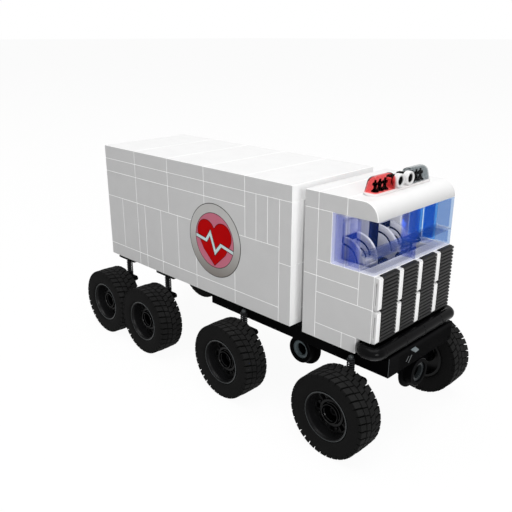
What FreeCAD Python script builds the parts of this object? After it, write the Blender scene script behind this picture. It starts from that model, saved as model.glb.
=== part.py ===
"""Toy building-brick ambulance on eight wheels, as a parametric FreeCAD document.

Frame: +X forward, +Y to the vehicle's left, +Z up, millimetres. The origin is on the ground,
under the middle of the vehicle. The body stands on a cubic grid of one stud (8 mm).
"""
import FreeCAD, Part
import math
import os
import re
import Sketcher

# ---------------------------------------------------------------- driving dimensions
SIZES = [
    # alias, millimetres
    ("stud", 8),                    # pitch of the building grid
    ("wall", 8),                    # thickness of walls, floors and roofs
    ("plate", 3.2),                 # height of one flat plate
    ("box_length", 160),
    ("body_width", 64),
    ("body_height", 72),
    ("cab_length", 40),
    ("cab_gap", 8),                 # between cab and load box
    ("front_overhang", 11),         # cab front ahead of the first axle
    ("window_sill", 40),            # above the body's underside
    ("window_head", 64),
    ("window_length", 24),
    ("pane", 1),                    # glass thickness
    ("deck_top", 32),               # floor under the seats
    ("roof_round", 7.6),            # radius of the cab roof's front edge
    ("frame_length", 120),
    ("frame_width", 56),
    ("frame_height", 8),
    ("frame_nose", 8),              # frame ahead of the cab front
    ("nose_lip", 0.8),              # thin plate across the frame's front
    ("nose_rise", 2),               # lip above the body's underside
    ("rail", 8),                    # width of rails and cross members
    ("ride_height", 27.5),          # body underside above the axles
    ("wheelbase", 185.2),             # first axle to fourth axle
    ("front_pair", 72),             # first axle to second axle
    ("rear_pair", 41.8),              # third axle to fourth axle
    ("wheel_track", 82),
    ("tyre_diameter", 41.4),
    ("tyre_width", 15),
    ("tyre_shoulder", 1.6),
    ("rim_diameter", 24),
    ("rim_width", 13),
    ("rim_wall", 1.2),
    ("web", 2),                     # rim disc thickness
    ("hub_diameter", 10),
    ("hub_outside", 4.5),           # hub end from the wheel's middle, outwards
    ("hub_inside", 5.5),            # hub end from the wheel's middle, inwards
    ("hub_well", 8),                # open end of the hub, across
    ("well_depth", 3.5),
    ("window_hole", 3),             # holes in the rim disc
    ("axle_diameter", 4.8),
    ("axle_play", 0.05),            # running clearance on radius
    ("seat_play", 0.02),            # clearance of a tight seat on radius
    ("carrier_length", 16),
    ("carrier_thick", 7),
    ("carrier_top", 14),            # above the axle
    ("carrier_drop", 4),            # below the axle
    ("carrier_boss", 8),
    ("axle_plate_shift", 2),        # rear axle plates' middle behind the axle
    ("side_gap", 0.3),              # carrier boss to wheel hub
    ("eye_drop", 4),                # strut eye below the body
    ("eye_diameter", 3.8),
    ("eye_length", 4.6),
    ("rod_diameter", 1.8),
    ("cap_diameter", 4.2),
    ("cap_height", 1.2),
    ("spring_diameter", 4.4),
    ("spring_wire", 0.8),
    ("bumper_diameter", 6),
    ("bumper_reach", 4),            # bumper axis ahead of the cab front
    ("bumper_proud", 1),            # side arm's axis outside the body's side
    ("bumper_height", 4),           # axis above the body's underside
    ("fin_width", 3.2),
    ("fin_depth", 2),
    ("fin_height", 16),
    ("fin_round", 1.2),
    ("grille_depth", 2.6),
    ("drum_diameter", 14.4),
    ("drum_length", 4.6),
    ("drum_drop", 8),               # drum axis below the frame
    ("drum_block", 18.8),
    ("drum_block_length", 8.5),
    ("ring_diameter", 10.3),
    ("ring_depth", 3),
    ("socket_diameter", 6.5),
    ("socket_depth", 8),
    ("door_thick", 6.4),
    ("door_play", 0.4),
    ("door_bevel", 1.6),            # slant of the free edge, so that the doors pass each other
    ("hinge_radius", 1.6),
    ("hinge_offset", 1.9),          # hinge axis behind the body's rear face
    ("hinge_length", 4),
    ("hinge_leaf", 6),
    ("hinge_leaf_thick", 1.3),
    ("hinge_end", 12),              # hinge from the door's top and bottom edges
    ("pin_radius", 0.8),
    ("handle_length", 12),
    ("handle_depth", 3.2),
    ("handle_bar", 1.6),
    ("lightbar_length", 48),
    ("lightbar_width", 8),
    ("lightbar_base", 1),
    ("cover_width", 7),
    ("cover_height", 7),
    ("cover_skin", 0.7),
    ("cover_round", 2.6),
    ("cover_inner", 7.5),           # cover's inner end from the middle
    ("cover_slope", 3.2),           # lean of the cover's outer end
    ("beacon_pitch", 3.6),          # between the pins under a cover
    ("lamp_diameter", 6.4),
    ("lamp_depth", 4),
    ("lamp_spread", 8),
    ("lens_diameter", 4),
    ("seat_width", 12),
    ("seat_height", 24),
    ("seat_back", 4.9),
    ("seat_head", 6.6),             # back above the arms
    ("seat_arm", 12),               # arms' quarter-round radius
    ("seat_side", 1.6),
    ("seat_cushion", 8),
    ("seat_spread", 28),            # between the two seats' middles
    ("post_width", 8),
    ("post_depth", 7.9),
    ("dash_depth", 6),
    ("dash_height", 6),
    ("helm_diameter", 9),
    ("helm_rim", 1.4),
]

doc = FreeCAD.newDocument("ambulance")
sheet = doc.addObject("Spreadsheet::Sheet", "Sizes")
for row, (alias, number) in enumerate(SIZES, start=1):
    sheet.set("A%d" % row, alias)
    sheet.set("B%d" % row, str(number))
    sheet.setAlias("B%d" % row, alias)
doc.recompute()

# ---------------------------------------------------------------- places worked out from the sizes
AXLE_Z = "tyre_diameter / 2"
BASE = "(tyre_diameter / 2 + ride_height)"              # body underside = frame top
TOP = f"({BASE} + body_height)"
FRAME_Z = f"({BASE} - frame_height)"
CAB_FRONT = "(wheelbase / 2 + front_overhang)"
CAB_BACK = f"({CAB_FRONT} - cab_length)"
BOX_FRONT = f"({CAB_BACK} - cab_gap)"
BOX_BACK = f"({BOX_FRONT} - box_length)"
FRAME_FRONT = f"({CAB_FRONT} + frame_nose)"
FRAME_BACK = f"({FRAME_FRONT} - frame_length)"
HALF = "(body_width / 2)"                               # side faces
INNER = f"({HALF} - wall)"                              # inner faces of the side walls
SILL = f"({BASE} + window_sill)"
HEAD = f"({BASE} + window_head)"
DECK = f"({BASE} + deck_top)"
EYE_Z = f"({BASE} - eye_drop)"
STRUT_Y = "(frame_width / 2 + eye_length / 2)"
SEAT_Z = f"({AXLE_Z} + carrier_top)"                    # top of the hub carriers
DRUM_Z = f"({FRAME_Z} - drum_drop)"
LIGHT_X = f"({CAB_FRONT} - 1.5 * stud)"
HINGE_X = f"({BOX_BACK} - hinge_offset)"
BUMPER_X = f"({CAB_FRONT} + bumper_reach)"
BUMPER_Z = f"({BASE} + bumper_height)"

AXLES = [
    # number, place along X
    (1, "(wheelbase / 2)"),
    (2, "(wheelbase / 2 - front_pair)"),
    (3, "(-wheelbase / 2 + rear_pair)"),
    (4, "(-wheelbase / 2)"),
]
SIDES = [
    # name, sign along Y, turn about Z that points a wheel's outer face outwards
    ("right", -1, 180),
    ("left", 1, 0),
]

ALIAS = re.compile(r"\b(" + "|".join(alias for alias, _ in SIZES) + r")\b")
X_AXIS = FreeCAD.Vector(1, 0, 0)
Y_AXIS = FreeCAD.Vector(0, 1, 0)
Z_AXIS = FreeCAD.Vector(0, 0, 1)
TURNED = {"x": FreeCAD.Rotation(Z_AXIS, X_AXIS), "y": FreeCAD.Rotation(Z_AXIS, Y_AXIS),
          "z": FreeCAD.Rotation()}
TOUCH = 0.01                                            # edges this near a face lie on it
nodes = []


# ---------------------------------------------------------------- helpers
def bind(thing, prop, expression):
    """Tie one property to the sheet; a plain name stands for the sheet's cell."""
    thing.setExpression(prop, ALIAS.sub(r"Sizes.\1", str(expression)))


def place(thing, x="0", y="0", z="0"):
    for letter, expression in (("x", x), ("y", y), ("z", z)):
        bind(thing, "Placement.Base." + letter, expression)
    return thing


def keep(thing, label):
    """Mark an object as a sub-part that is written out under its own label."""
    thing.Label = label
    nodes.append(thing)
    return thing


def box(name, x, y, z):
    """A block between two planes along each axis, each pair given as two expressions."""
    block = doc.addObject("Part::Box", name)
    for prop, (low, high) in (("Length", x), ("Width", y), ("Height", z)):
        bind(block, prop, f"({high}) - ({low})")
    return place(block, x[0], y[0], z[0])


def rod(name, axis, radius, length, x, y, z):
    """A cylinder that starts at a point and runs along +X, +Y or +Z."""
    cylinder = doc.addObject("Part::Cylinder", name)
    cylinder.Placement = FreeCAD.Placement(FreeCAD.Vector(), TURNED[axis])
    bind(cylinder, "Radius", radius)
    bind(cylinder, "Height", length)
    return place(cylinder, x, y, z)


def ball(name, radius, x, y, z):
    sphere = doc.addObject("Part::Sphere", name)
    bind(sphere, "Radius", radius)
    return place(sphere, x, y, z)


def fuse(name, pieces):
    joined = doc.addObject("Part::MultiFuse", name)
    joined.Shapes = pieces
    joined.Refine = True
    return joined


def cut(name, base, tool):
    rest = doc.addObject("Part::Cut", name)
    rest.Base = base
    rest.Tool = tool
    return rest


def group(label, pieces):
    """Several solids that don't touch, kept as one sub-part."""
    together = doc.addObject("Part::Compound", label)
    together.Links = pieces
    return keep(together, label)


def new_body(label):
    body = doc.addObject("PartDesign::Body", label)
    body.Label = label
    return body


def sketch_on(body, name, role):
    sketch = body.newObject("Sketcher::SketchObject", name)
    plane = [item for item in body.Origin.OriginFeatures if item.Role == role][0]
    sketch.AttachmentSupport = [(plane, "")]
    sketch.MapMode = "FlatFace"
    return sketch


def add_loop(sketch, points):
    """A closed outline of straight lines; each corner is tied to a pair of expressions."""
    first = sketch.GeometryCount
    count = len(points)
    start = [FreeCAD.Vector(math.cos(2 * math.pi * i / count), math.sin(2 * math.pi * i / count), 0)
             for i in range(count)]
    for i in range(count):
        sketch.addGeometry(Part.LineSegment(start[i], start[(i + 1) % count]), False)
    for i in range(count):
        sketch.addConstraint(Sketcher.Constraint("Coincident", first + i, 2, first + (i + 1) % count, 1))
    for i, (across, up) in enumerate(points):
        for kind, guess, expression in (("DistanceX", start[i].x, across), ("DistanceY", start[i].y, up)):
            number = sketch.addConstraint(Sketcher.Constraint(kind, -1, 1, first + i, 1, guess))
            bind(sketch, f"Constraints[{number}]", expression)


def add_circle(sketch, across, up, radius):
    index = sketch.addGeometry(Part.Circle(FreeCAD.Vector(1, 1, 0), Z_AXIS, 1), False)
    for kind, expression in (("DistanceX", across), ("DistanceY", up)):
        number = sketch.addConstraint(Sketcher.Constraint(kind, -1, 1, index, 3, 1))
        bind(sketch, f"Constraints[{number}]", expression)
    number = sketch.addConstraint(Sketcher.Constraint("Radius", index, 1))
    bind(sketch, f"Constraints[{number}]", radius)


def rectangle(low_x, high_x, low_y, high_y):
    return [(low_x, low_y), (high_x, low_y), (high_x, high_y), (low_x, high_y)]


def pad(body, sketch, length, both_ways=False, reverse=False):
    feature = body.newObject("PartDesign::Pad", body.Label + "_pad")
    feature.Profile = sketch
    feature.SideType = "Symmetric" if both_ways else "One side"
    feature.Reversed = reverse
    bind(feature, "Length", length)
    return feature


def revolve(body, sketch, axis):
    feature = body.newObject("PartDesign::Revolution", body.Label + "_turned")
    feature.Profile = sketch
    feature.ReferenceAxis = (sketch, [axis])
    feature.Angle = 360
    return feature


def fillet(body, radius, chosen):
    """Round the edges of the body's tip that the test picks."""
    doc.recompute()
    base = body.Tip
    names = [f"Edge{i}" for i, edge in enumerate(base.Shape.Edges, start=1) if chosen(edge, base.Shape)]
    feature = body.newObject("PartDesign::Fillet", body.Label + "_round")
    feature.Base = (base, names)
    bind(feature, "Radius", radius)
    body.Tip = feature
    return feature


def panel(label, outline, y_face):
    """An upright panel one wall thick, outlined in XZ; it lies on the -Y side of y_face."""
    body = new_body(label)
    sketch = sketch_on(body, label + "_outline", "XZ_Plane")
    add_loop(sketch, outline)
    pad(body, sketch, "wall")
    place(body, y=y_face)
    return keep(body, label)


# ---------------------------------------------------------------- chassis
def chassis_frame():
    """Flat frame with two rails, four cross members and three open bays."""
    bays = 3
    body = new_body("frame_ladder")
    sketch = sketch_on(body, "frame_outline", "XY_Plane")
    add_loop(sketch, rectangle(FRAME_BACK, FRAME_FRONT, "-frame_width / 2", "frame_width / 2"))
    bay = f"((frame_length - {bays + 1} * rail) / {bays})"
    for i in range(bays):
        low = f"({FRAME_BACK} + rail + {i} * ({bay} + rail))"
        add_loop(sketch, rectangle(low, f"{low} + {bay}",
                                   "-frame_width / 2 + rail", "frame_width / 2 - rail"))
    pad(body, sketch, "frame_height")
    place(body, z=FRAME_Z)
    lip = box("nose_lip_plate", (f"{FRAME_FRONT} - nose_lip", FRAME_FRONT),
              ("-frame_width / 2", "frame_width / 2"), (f"{BASE} - frame_height / 2", f"{BASE} + nose_rise"))
    keep(fuse("frame_with_lip", [body, lip]), "chassis_frame")


def rear_axle_plates():
    """A flat plate under the box over each rear axle; the strut eyes seat on its end faces."""
    plates = []
    for number, x in AXLES[2:]:
        middle = f"({x} - axle_plate_shift)"
        plates.append(box(f"plate_{number}", (f"{middle} - stud", f"{middle} + stud"),
                          ("-frame_width / 2", "frame_width / 2"), (f"{BASE} - plate", BASE)))
    group("rear_axle_plates", plates)


def coupling(label, axis, face, across):
    """A round socket housing with a larger round-bottomed block behind it, under the frame.

    axis is the way the socket runs inwards from its face, along +Y or -X.
    """
    drum_length, block_length = "drum_length", "drum_block_length"
    if axis == "y":
        drum = rod(label + "_drum", "y", "drum_diameter / 2", drum_length, across, face, DRUM_Z)
        start = f"{face} + {drum_length}"
        wide = (f"{across} - drum_block / 2", f"{across} + drum_block / 2")
        deep = (start, f"{start} + {block_length}")
        block = box(label + "_block", wide, deep, (DRUM_Z, FRAME_Z))
        belly = rod(label + "_belly", "y", "drum_block / 2", block_length, across, start, DRUM_Z)
        under = box(label + "_under", wide, deep, (f"{DRUM_Z} - drum_block / 2", DRUM_Z))
        recess = rod(label + "_recess", "y", "ring_diameter / 2 + seat_play", "ring_depth",
                     across, face, DRUM_Z)
        bore = rod(label + "_bore", "y", "socket_diameter / 2", "socket_depth", across, face, DRUM_Z)
    else:
        start = f"{face} - {drum_length}"
        drum = rod(label + "_drum", "x", "drum_diameter / 2", drum_length, start, across, DRUM_Z)
        back = f"{start} - {block_length}"
        wide = (f"{across} - drum_block / 2", f"{across} + drum_block / 2")
        block = box(label + "_block", (back, start), wide, (DRUM_Z, FRAME_Z))
        belly = rod(label + "_belly", "x", "drum_block / 2", block_length, back, across, DRUM_Z)
        under = box(label + "_under", (back, start), wide, (f"{DRUM_Z} - drum_block / 2", DRUM_Z))
        recess = rod(label + "_recess", "x", "ring_diameter / 2 + seat_play", "ring_depth",
                     f"{face} - ring_depth", across, DRUM_Z)
        bore = rod(label + "_bore", "x", "socket_diameter / 2", "socket_depth",
                   f"{face} - socket_depth", across, DRUM_Z)
    lower = doc.addObject("Part::Common", label + "_lower")
    lower.Base = belly
    lower.Tool = under
    housing = fuse(label + "_housing", [drum, block, lower])
    keep(cut(label, housing, fuse(label + "_hollow", [recess, bore])), label)


def coupling_ring(name, axis, x, y):
    ring = rod(name + "_solid", axis, "ring_diameter / 2", "ring_depth", x, y, DRUM_Z)
    hole = rod(name + "_hole", axis, "socket_diameter / 2", "ring_depth", x, y, DRUM_Z)
    return cut(name, ring, hole)


def couplings():
    side_face = f"(-{INNER})"
    front_face = FRAME_FRONT
    coupling("side_coupling", "y", side_face, BOX_FRONT)
    coupling("front_coupling", "x", front_face, "0")
    group("coupling_rings", [coupling_ring("side_ring", "y", BOX_FRONT, side_face),
                             coupling_ring("front_ring", "x", f"{front_face} - ring_depth", "0")])


# ---------------------------------------------------------------- wheels and what carries them
def y_span(sign, near, far):
    """Two Y planes in rising order, from distances that are measured outwards from the middle."""
    return (f"{near}", f"{far}") if sign > 0 else (f"-({far})", f"-({near})")


def hub_carrier(name, x, sign):
    """Plate under the strut, a narrower upright below it, and a boss that holds the stub axle."""
    inner = f"({STRUT_Y} - eye_length / 2 - rail / 4)"
    outer = f"({inner} + carrier_thick)"
    boss_end = "(wheel_track / 2 - hub_inside - side_gap)"
    ledge = box(name + "_ledge", (f"{x} - carrier_length / 2", f"{x} + carrier_length / 2"),
                y_span(sign, inner, outer), (f"{SEAT_Z} - plate", SEAT_Z))
    upright = box(name + "_upright", (f"{x} - carrier_length / 4", f"{x} + carrier_length / 4"),
                  y_span(sign, inner, outer), (f"{AXLE_Z} - carrier_drop", f"{SEAT_Z} - plate"))
    low, high = y_span(sign, inner, boss_end)
    boss = rod(name + "_boss", "y", "carrier_boss / 2 - seat_play", f"({high}) - ({low})", x, low, AXLE_Z)
    bore = rod(name + "_bore", "y", "axle_diameter / 2 + seat_play", f"({high}) - ({low})", x, low, AXLE_Z)
    return cut(name, fuse(name + "_solid", [upright, ledge, boss]), bore)


def stub_axle(name, x, sign):
    low, high = y_span(sign, f"({STRUT_Y} - eye_length / 2 - rail / 4)",
                       "(wheel_track / 2 + hub_outside - well_depth - side_gap)")
    return rod(name, "y", "axle_diameter / 2", f"({high}) - ({low})", x, low, AXLE_Z)


def strut(name, x, sign):
    """Eye on the frame's side, rod, and a cap at each end of the spring."""
    middle = f"{sign} * {STRUT_Y}"
    low, _ = y_span(sign, "(frame_width / 2)", "(frame_width / 2 + eye_length)")
    eye = rod(name + "_eye", "y", "eye_diameter / 2", "eye_length", x, low, EYE_Z)
    stem = rod(name + "_stem", "z", "rod_diameter / 2", f"{EYE_Z} - {SEAT_Z}", x, middle, SEAT_Z)
    lower = rod(name + "_lower", "z", "cap_diameter / 2", "cap_height", x, middle, SEAT_Z)
    upper = rod(name + "_upper", "z", "cap_diameter / 2", "cap_height", x, middle,
                f"{EYE_Z} - eye_diameter / 2 - cap_height / 2")
    return fuse(name, [eye, stem, lower, upper])


def spring(name, x, sign):
    """Plain sleeve in the coil's outer and inner size."""
    middle = f"{sign} * {STRUT_Y}"
    foot = f"({SEAT_Z} + cap_height)"
    length = f"({EYE_Z} - eye_diameter / 2 - cap_height / 2) - {foot}"
    outer = rod(name + "_outer", "z", "spring_diameter / 2", length, x, middle, foot)
    inner = rod(name + "_inner", "z", "spring_diameter / 2 - spring_wire", length, x, middle, foot)
    return cut(name, outer, inner)


def tyre(label):
    """Turned tyre section: outlined across Y (width) and Z (radius)."""
    body = new_body(label)
    sketch = sketch_on(body, label + "_section", "YZ_Plane")
    bead = "rim_width / 2 - rim_wall"
    wide = "tyre_width / 2"
    outer = "tyre_diameter / 2"
    inner = "rim_diameter / 2 + seat_play"
    add_loop(sketch, [
        (f"-({bead})", inner), (bead, inner), (wide, "rim_diameter / 2 + tyre_shoulder"),
        (wide, f"{outer} - 2 * tyre_shoulder"), (f"{wide} - tyre_shoulder", outer),
        (f"-({wide} - tyre_shoulder)", outer), (f"-({wide})", f"{outer} - 2 * tyre_shoulder"),
        (f"-({wide})", "rim_diameter / 2 + tyre_shoulder"),
    ])
    revolve(body, sketch, "H_Axis")
    return body


def rim(label):
    """Deep-dished rim: barrel, disc with round windows, and a hub bored for the stub axle."""
    windows = 8
    body = new_body(label)
    sketch = sketch_on(body, label + "_section", "YZ_Plane")
    bore = "axle_diameter / 2 + axle_play"
    hub = "hub_diameter / 2"
    barrel = "rim_diameter / 2 - rim_wall"
    edge = "rim_width / 2"
    disc_in = "-web"
    disc_out = "0"
    well = "hub_outside - well_depth"
    add_loop(sketch, [
        ("-hub_inside", bore), (well, bore), (well, "hub_well / 2"), ("hub_outside", "hub_well / 2"),
        ("hub_outside", hub), (disc_out, hub),
        (disc_out, barrel), (edge, barrel), (edge, "rim_diameter / 2"), (f"-{edge}", "rim_diameter / 2"),
        (f"-{edge}", barrel), (disc_in, barrel), (disc_in, hub), ("-hub_inside", hub),
    ])
    revolve(body, sketch, "H_Axis")
    holes = sketch_on(body, label + "_window", "XZ_Plane")
    add_circle(holes, "0", "(hub_diameter + rim_diameter - 2 * rim_wall) / 4", "window_hole / 2")
    window = body.newObject("PartDesign::Pocket", label + "_pocket")
    window.Profile = holes
    window.Type = "ThroughAll"
    window.SideType = "Symmetric"
    pattern = body.newObject("PartDesign::PolarPattern", label + "_windows")
    pattern.Originals = [window]
    pattern.Axis = (holes, ["N_Axis"])
    pattern.Angle = 360
    pattern.Occurrences = windows
    body.Tip = pattern
    return body


def wheels():
    corners = [(number, x, side, sign, turn) for number, x in AXLES for side, sign, turn in SIDES]
    for number, x, side, sign, turn in corners:
        for make, kind in ((tyre, "tyre"), (rim, "rim")):
            label = f"{kind}_{number}_{side}"
            body = make(label)
            body.Placement = FreeCAD.Placement(FreeCAD.Vector(), FreeCAD.Rotation(Z_AXIS, turn))
            place(body, x, f"{sign} * wheel_track / 2", AXLE_Z)
            keep(body, label)
    for label, make in (("hub_carriers", hub_carrier), ("stub_axles", stub_axle),
                        ("strut_rods", strut), ("strut_springs", spring)):
        group(label, [make(f"{label}_{number}_{side}", x, sign) for number, x, side, sign, _ in corners])


# ---------------------------------------------------------------- load box
def load_box():
    span = (BOX_BACK, BOX_FRONT)
    full = (f"-{HALF}", HALF)
    keep(box("box_floor", span, full, (BASE, f"{BASE} + wall")), "box_floor")
    keep(box("box_roof", span, full, (f"{TOP} - wall", TOP)), "box_roof")
    side = rectangle(BOX_BACK, BOX_FRONT, f"{BASE} + wall", f"{TOP} - wall")
    panel("box_side_right", side, f"-{INNER}")
    panel("box_side_left", side, HALF)
    keep(box("box_front_wall", (f"{BOX_FRONT} - wall", BOX_FRONT), (f"-{INNER}", INNER),
             (f"{BASE} + wall", f"{TOP} - wall")), "box_front_wall")


HINGE_ENDS = [
    # name, foot of the door's knuckle
    ("low", f"({BASE} + wall + hinge_end)"),
    ("high", f"({TOP} - wall - hinge_end - hinge_length)"),
]


def rear_door(side, sign):
    """Door leaf between the side walls; its free edge slants, and two knuckles hang on the pins."""
    label = f"rear_door_{side}"
    outer = f"({BOX_BACK})"
    inner = f"({BOX_BACK} + door_thick)"
    hung = f"{sign} * ({INNER} - door_play)"
    foot = f"({BASE} + wall + door_play)"
    leaf = new_body(label + "_leaf")
    sketch = sketch_on(leaf, label + "_outline", "XY_Plane")
    add_loop(sketch, [(outer, hung), (outer, f"{sign} * door_play"),
                      (inner, f"{sign} * (door_play + door_bevel)"), (inner, hung)])
    pad(leaf, sketch, f"({TOP} - wall - door_play) - {foot}")
    place(leaf, z=foot)
    pieces = [leaf]
    bores = []
    for name, z in HINGE_ENDS:
        low, high = y_span(sign, f"({INNER} - hinge_leaf)", f"({INNER} - door_play)")
        pieces.append(box(f"{label}_flap_{name}", (f"{BOX_BACK} - hinge_leaf_thick", BOX_BACK), (low, high),
                          (z, f"{z} + hinge_length")))
        pieces.append(rod(f"{label}_knuckle_{name}", "z", "hinge_radius", "hinge_length",
                          HINGE_X, f"{sign} * {INNER}", z))
        bores.append(rod(f"{label}_bore_{name}", "z", "pin_radius + axle_play", "hinge_length",
                         HINGE_X, f"{sign} * {INNER}", z))
    keep(cut(label, fuse(label + "_solid", pieces), fuse(label + "_bores", bores)), label)


def door_hinge(side, sign, name, z):
    """Fixed half of a hinge: a flap on the side wall's end, a knuckle, and the pin under it."""
    foot = f"({z} + hinge_length + door_play / 2)"
    head = f"({foot} + hinge_length)"
    low, high = y_span(sign, INNER, f"({INNER} + hinge_leaf)")
    key = f"hinge_{side}_{name}"
    flap = box(key + "_flap", (f"{BOX_BACK} - hinge_leaf_thick", BOX_BACK), (low, high), (foot, head))
    knuckle = rod(key + "_knuckle", "z", "hinge_radius", "hinge_length", HINGE_X, f"{sign} * {INNER}", foot)
    pin = rod(key + "_pin", "z", "pin_radius", f"{head} - {z}", HINGE_X, f"{sign} * {INNER}", z)
    return fuse(key, [flap, knuckle, pin])


def rear_handle(side, sign):
    """Upright grab bar on two feet."""
    label = f"rear_handle_{side}"
    middle = f"({BASE} + body_height / 2)"
    y = y_span(sign, "(door_play + handle_bar)", "(door_play + 2 * handle_bar)")
    low = f"({middle} - handle_length / 2)"
    high = f"({middle} + handle_length / 2)"
    bar = box(label + "_bar", (f"{BOX_BACK} - handle_depth", f"{BOX_BACK} - handle_depth + handle_bar"), y,
              (low, high))
    feet = [box(f"{label}_foot_{i}", (f"{BOX_BACK} - handle_depth", BOX_BACK), y, (z, f"{z} + handle_bar"))
            for i, z in enumerate((low, f"({high} - handle_bar)"))]
    keep(fuse(label, [bar] + feet), label)


def rear_doors():
    for side, sign, _ in SIDES:
        rear_door(side, sign)
        rear_handle(side, sign)
    group("door_hinges", [door_hinge(side, sign, name, z)
                          for side, sign, _ in SIDES for name, z in HINGE_ENDS])


# ---------------------------------------------------------------- cab
def cab_shell():
    inside = (f"{CAB_BACK} + wall", f"{CAB_FRONT} - wall")
    across = (f"-{INNER}", INNER)
    keep(box("cab_floor", inside, across, (BASE, f"{BASE} + wall")), "cab_floor")
    keep(box("cab_deck", inside, across, (f"{DECK} - wall", DECK)), "cab_deck")
    keep(box("cab_back_wall", (CAB_BACK, f"{CAB_BACK} + wall"), across, (BASE, f"{TOP} - wall")),
         "cab_back_wall")
    keep(box("cab_front_wall", (f"{CAB_FRONT} - wall", CAB_FRONT), across, (f"{BASE} + wall", SILL)),
         "cab_front_wall")
    window_back = f"{CAB_FRONT} - window_length"
    side = [(CAB_BACK, BASE), (f"{CAB_FRONT} - wall", BASE), (f"{CAB_FRONT} - wall", f"{BASE} + wall"),
            (CAB_FRONT, f"{BASE} + wall"), (CAB_FRONT, SILL), (window_back, SILL), (window_back, HEAD),
            (CAB_BACK, HEAD)]
    panel("cab_side_right", side, f"-{INNER}")
    panel("cab_side_left", side, HALF)

    roof = new_body("cab_roof")
    sketch = sketch_on(roof, "roof_outline", "XZ_Plane")
    add_loop(sketch, rectangle(CAB_BACK, CAB_FRONT, HEAD, TOP))
    pad(roof, sketch, "body_width", both_ways=True)
    fillet(roof, "roof_round", lambda edge, shape: (
        abs(edge.CenterOfMass.x - shape.BoundBox.XMax) < TOUCH
        and abs(edge.CenterOfMass.z - shape.BoundBox.ZMax) < TOUCH))
    keep(roof, "cab_roof")


def glass():
    """See-through panels: an outer pane, a ledge along its foot, and upright webs at its ends."""
    front = (f"{CAB_FRONT} - wall", CAB_FRONT)
    height = (SILL, HEAD)
    pieces = [
        box("front_pane", (f"{CAB_FRONT} - pane", CAB_FRONT), (f"-{HALF}", HALF), height),
        box("front_ledge", front, (f"-{HALF}", HALF), (SILL, f"{SILL} + pane")),
        box("middle_web", front, ("-pane", "pane"), height),
    ]
    for side, sign, _ in SIDES:
        pieces.append(box(f"front_web_{side}", front, y_span(sign, f"({HALF} - pane)", HALF), height))
    keep(fuse("windscreen", pieces), "windscreen")

    for side, sign, _ in SIDES:
        label = f"side_window_{side}"
        back = f"({CAB_FRONT} - window_length)"
        end = f"({CAB_FRONT} - wall)"
        deep = y_span(sign, INNER, HALF)
        pieces = [
            box(label + "_pane", (back, end), y_span(sign, f"({HALF} - pane)", HALF), height),
            box(label + "_ledge", (back, end), deep, (SILL, f"{SILL} + pane")),
        ]
        for i, x in enumerate((back, f"({back} + {end} - pane) / 2", f"({end} - pane)")):
            pieces.append(box(f"{label}_web_{i}", (x, f"{x} + pane"), deep, height))
        keep(fuse(label, pieces), label)


def seat(name, sign):
    """Bucket seat: foot, cushion, upright back, and two quarter-round arms."""
    rear = f"({CAB_BACK} + wall + pane / 2)"
    hub = f"({rear} + seat_back)"
    end = f"({hub} + seat_arm)"
    level = f"({DECK} + seat_height - seat_head - seat_arm)"
    middle = f"{sign} * seat_spread / 2"
    wide = (f"{middle} - seat_width / 2", f"{middle} + seat_width / 2")
    pieces = [
        box(name + "_back", (rear, hub), wide, (DECK, f"{DECK} + seat_height")),
        box(name + "_cushion", (rear, end), wide, (DECK, f"{DECK} + seat_cushion")),
    ]
    for edge, low in (("a", wide[0]), ("b", f"{wide[1]} - seat_side")):
        disc = rod(f"{name}_disc_{edge}", "y", "seat_arm", "seat_side", hub, low, level)
        quarter = doc.addObject("Part::Common", f"{name}_arm_{edge}")
        quarter.Base = disc
        quarter.Tool = box(f"{name}_quarter_{edge}", (hub, end), (low, f"{low} + seat_side"),
                           (level, f"{level} + seat_arm"))
        pieces.append(quarter)
    return fuse(name, pieces)


def cab_inside():
    rear = f"({CAB_BACK} + wall + pane / 2)"
    post = box("seat_post", (rear, f"{rear} + post_depth"), ("-post_width / 2", "post_width / 2"),
               (DECK, f"{DECK} + seat_height"))
    group("cab_seats", [seat(f"seat_{side}", sign) for side, sign, _ in SIDES] + [post])
    front = f"({CAB_FRONT} - wall)"
    keep(box("dashboard", (f"{front} - dash_depth", front), (f"-{INNER}", INNER),
             (DECK, f"{DECK} + dash_height")), "dashboard")
    x = f"({front} - dash_depth / 2)"
    y = "seat_spread / 2"
    column = rod("helm_column", "z", "helm_rim", "dash_height", x, y, f"{DECK} + dash_height")
    hoop = doc.addObject("Part::Torus", "helm_hoop")
    bind(hoop, "Radius1", "(helm_diameter - helm_rim) / 2")
    bind(hoop, "Radius2", "helm_rim / 2")
    top = f"({DECK} + 2 * dash_height)"
    place(hoop, x, y, top)
    spoke = box("helm_spoke", (f"{x} - helm_rim / 2", f"{x} + helm_rim / 2"),
                (f"{y} - (helm_diameter - helm_rim) / 2", f"{y} + (helm_diameter - helm_rim) / 2"),
                (f"{top} - helm_rim / 3", f"{top} + helm_rim / 3"))
    keep(fuse("steering_wheel", [column, hoop, spoke]), "steering_wheel")


# ---------------------------------------------------------------- front
def grille_fin(name, y, z):
    """White upright rail, rounded at its outer corners, with a slot behind its bar."""
    body = new_body(name)
    sketch = sketch_on(body, name + "_outline", "XZ_Plane")
    far = f"{CAB_FRONT} + fin_depth"
    add_loop(sketch, rectangle(CAB_FRONT, far, z, f"{z} + fin_height"))
    add_loop(sketch, rectangle(f"{CAB_FRONT} + fin_depth / 4", f"{CAB_FRONT} + fin_depth / 2",
                               f"{z} + plate", f"{z} + fin_height - plate"))
    pad(body, sketch, "fin_width", reverse=True)
    fillet(body, "fin_round", lambda edge, shape: (
        abs(edge.CenterOfMass.x - shape.BoundBox.XMax) < TOUCH
        and abs(edge.Length - shape.BoundBox.YLength) < TOUCH))
    return place(body, y=y)


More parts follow.
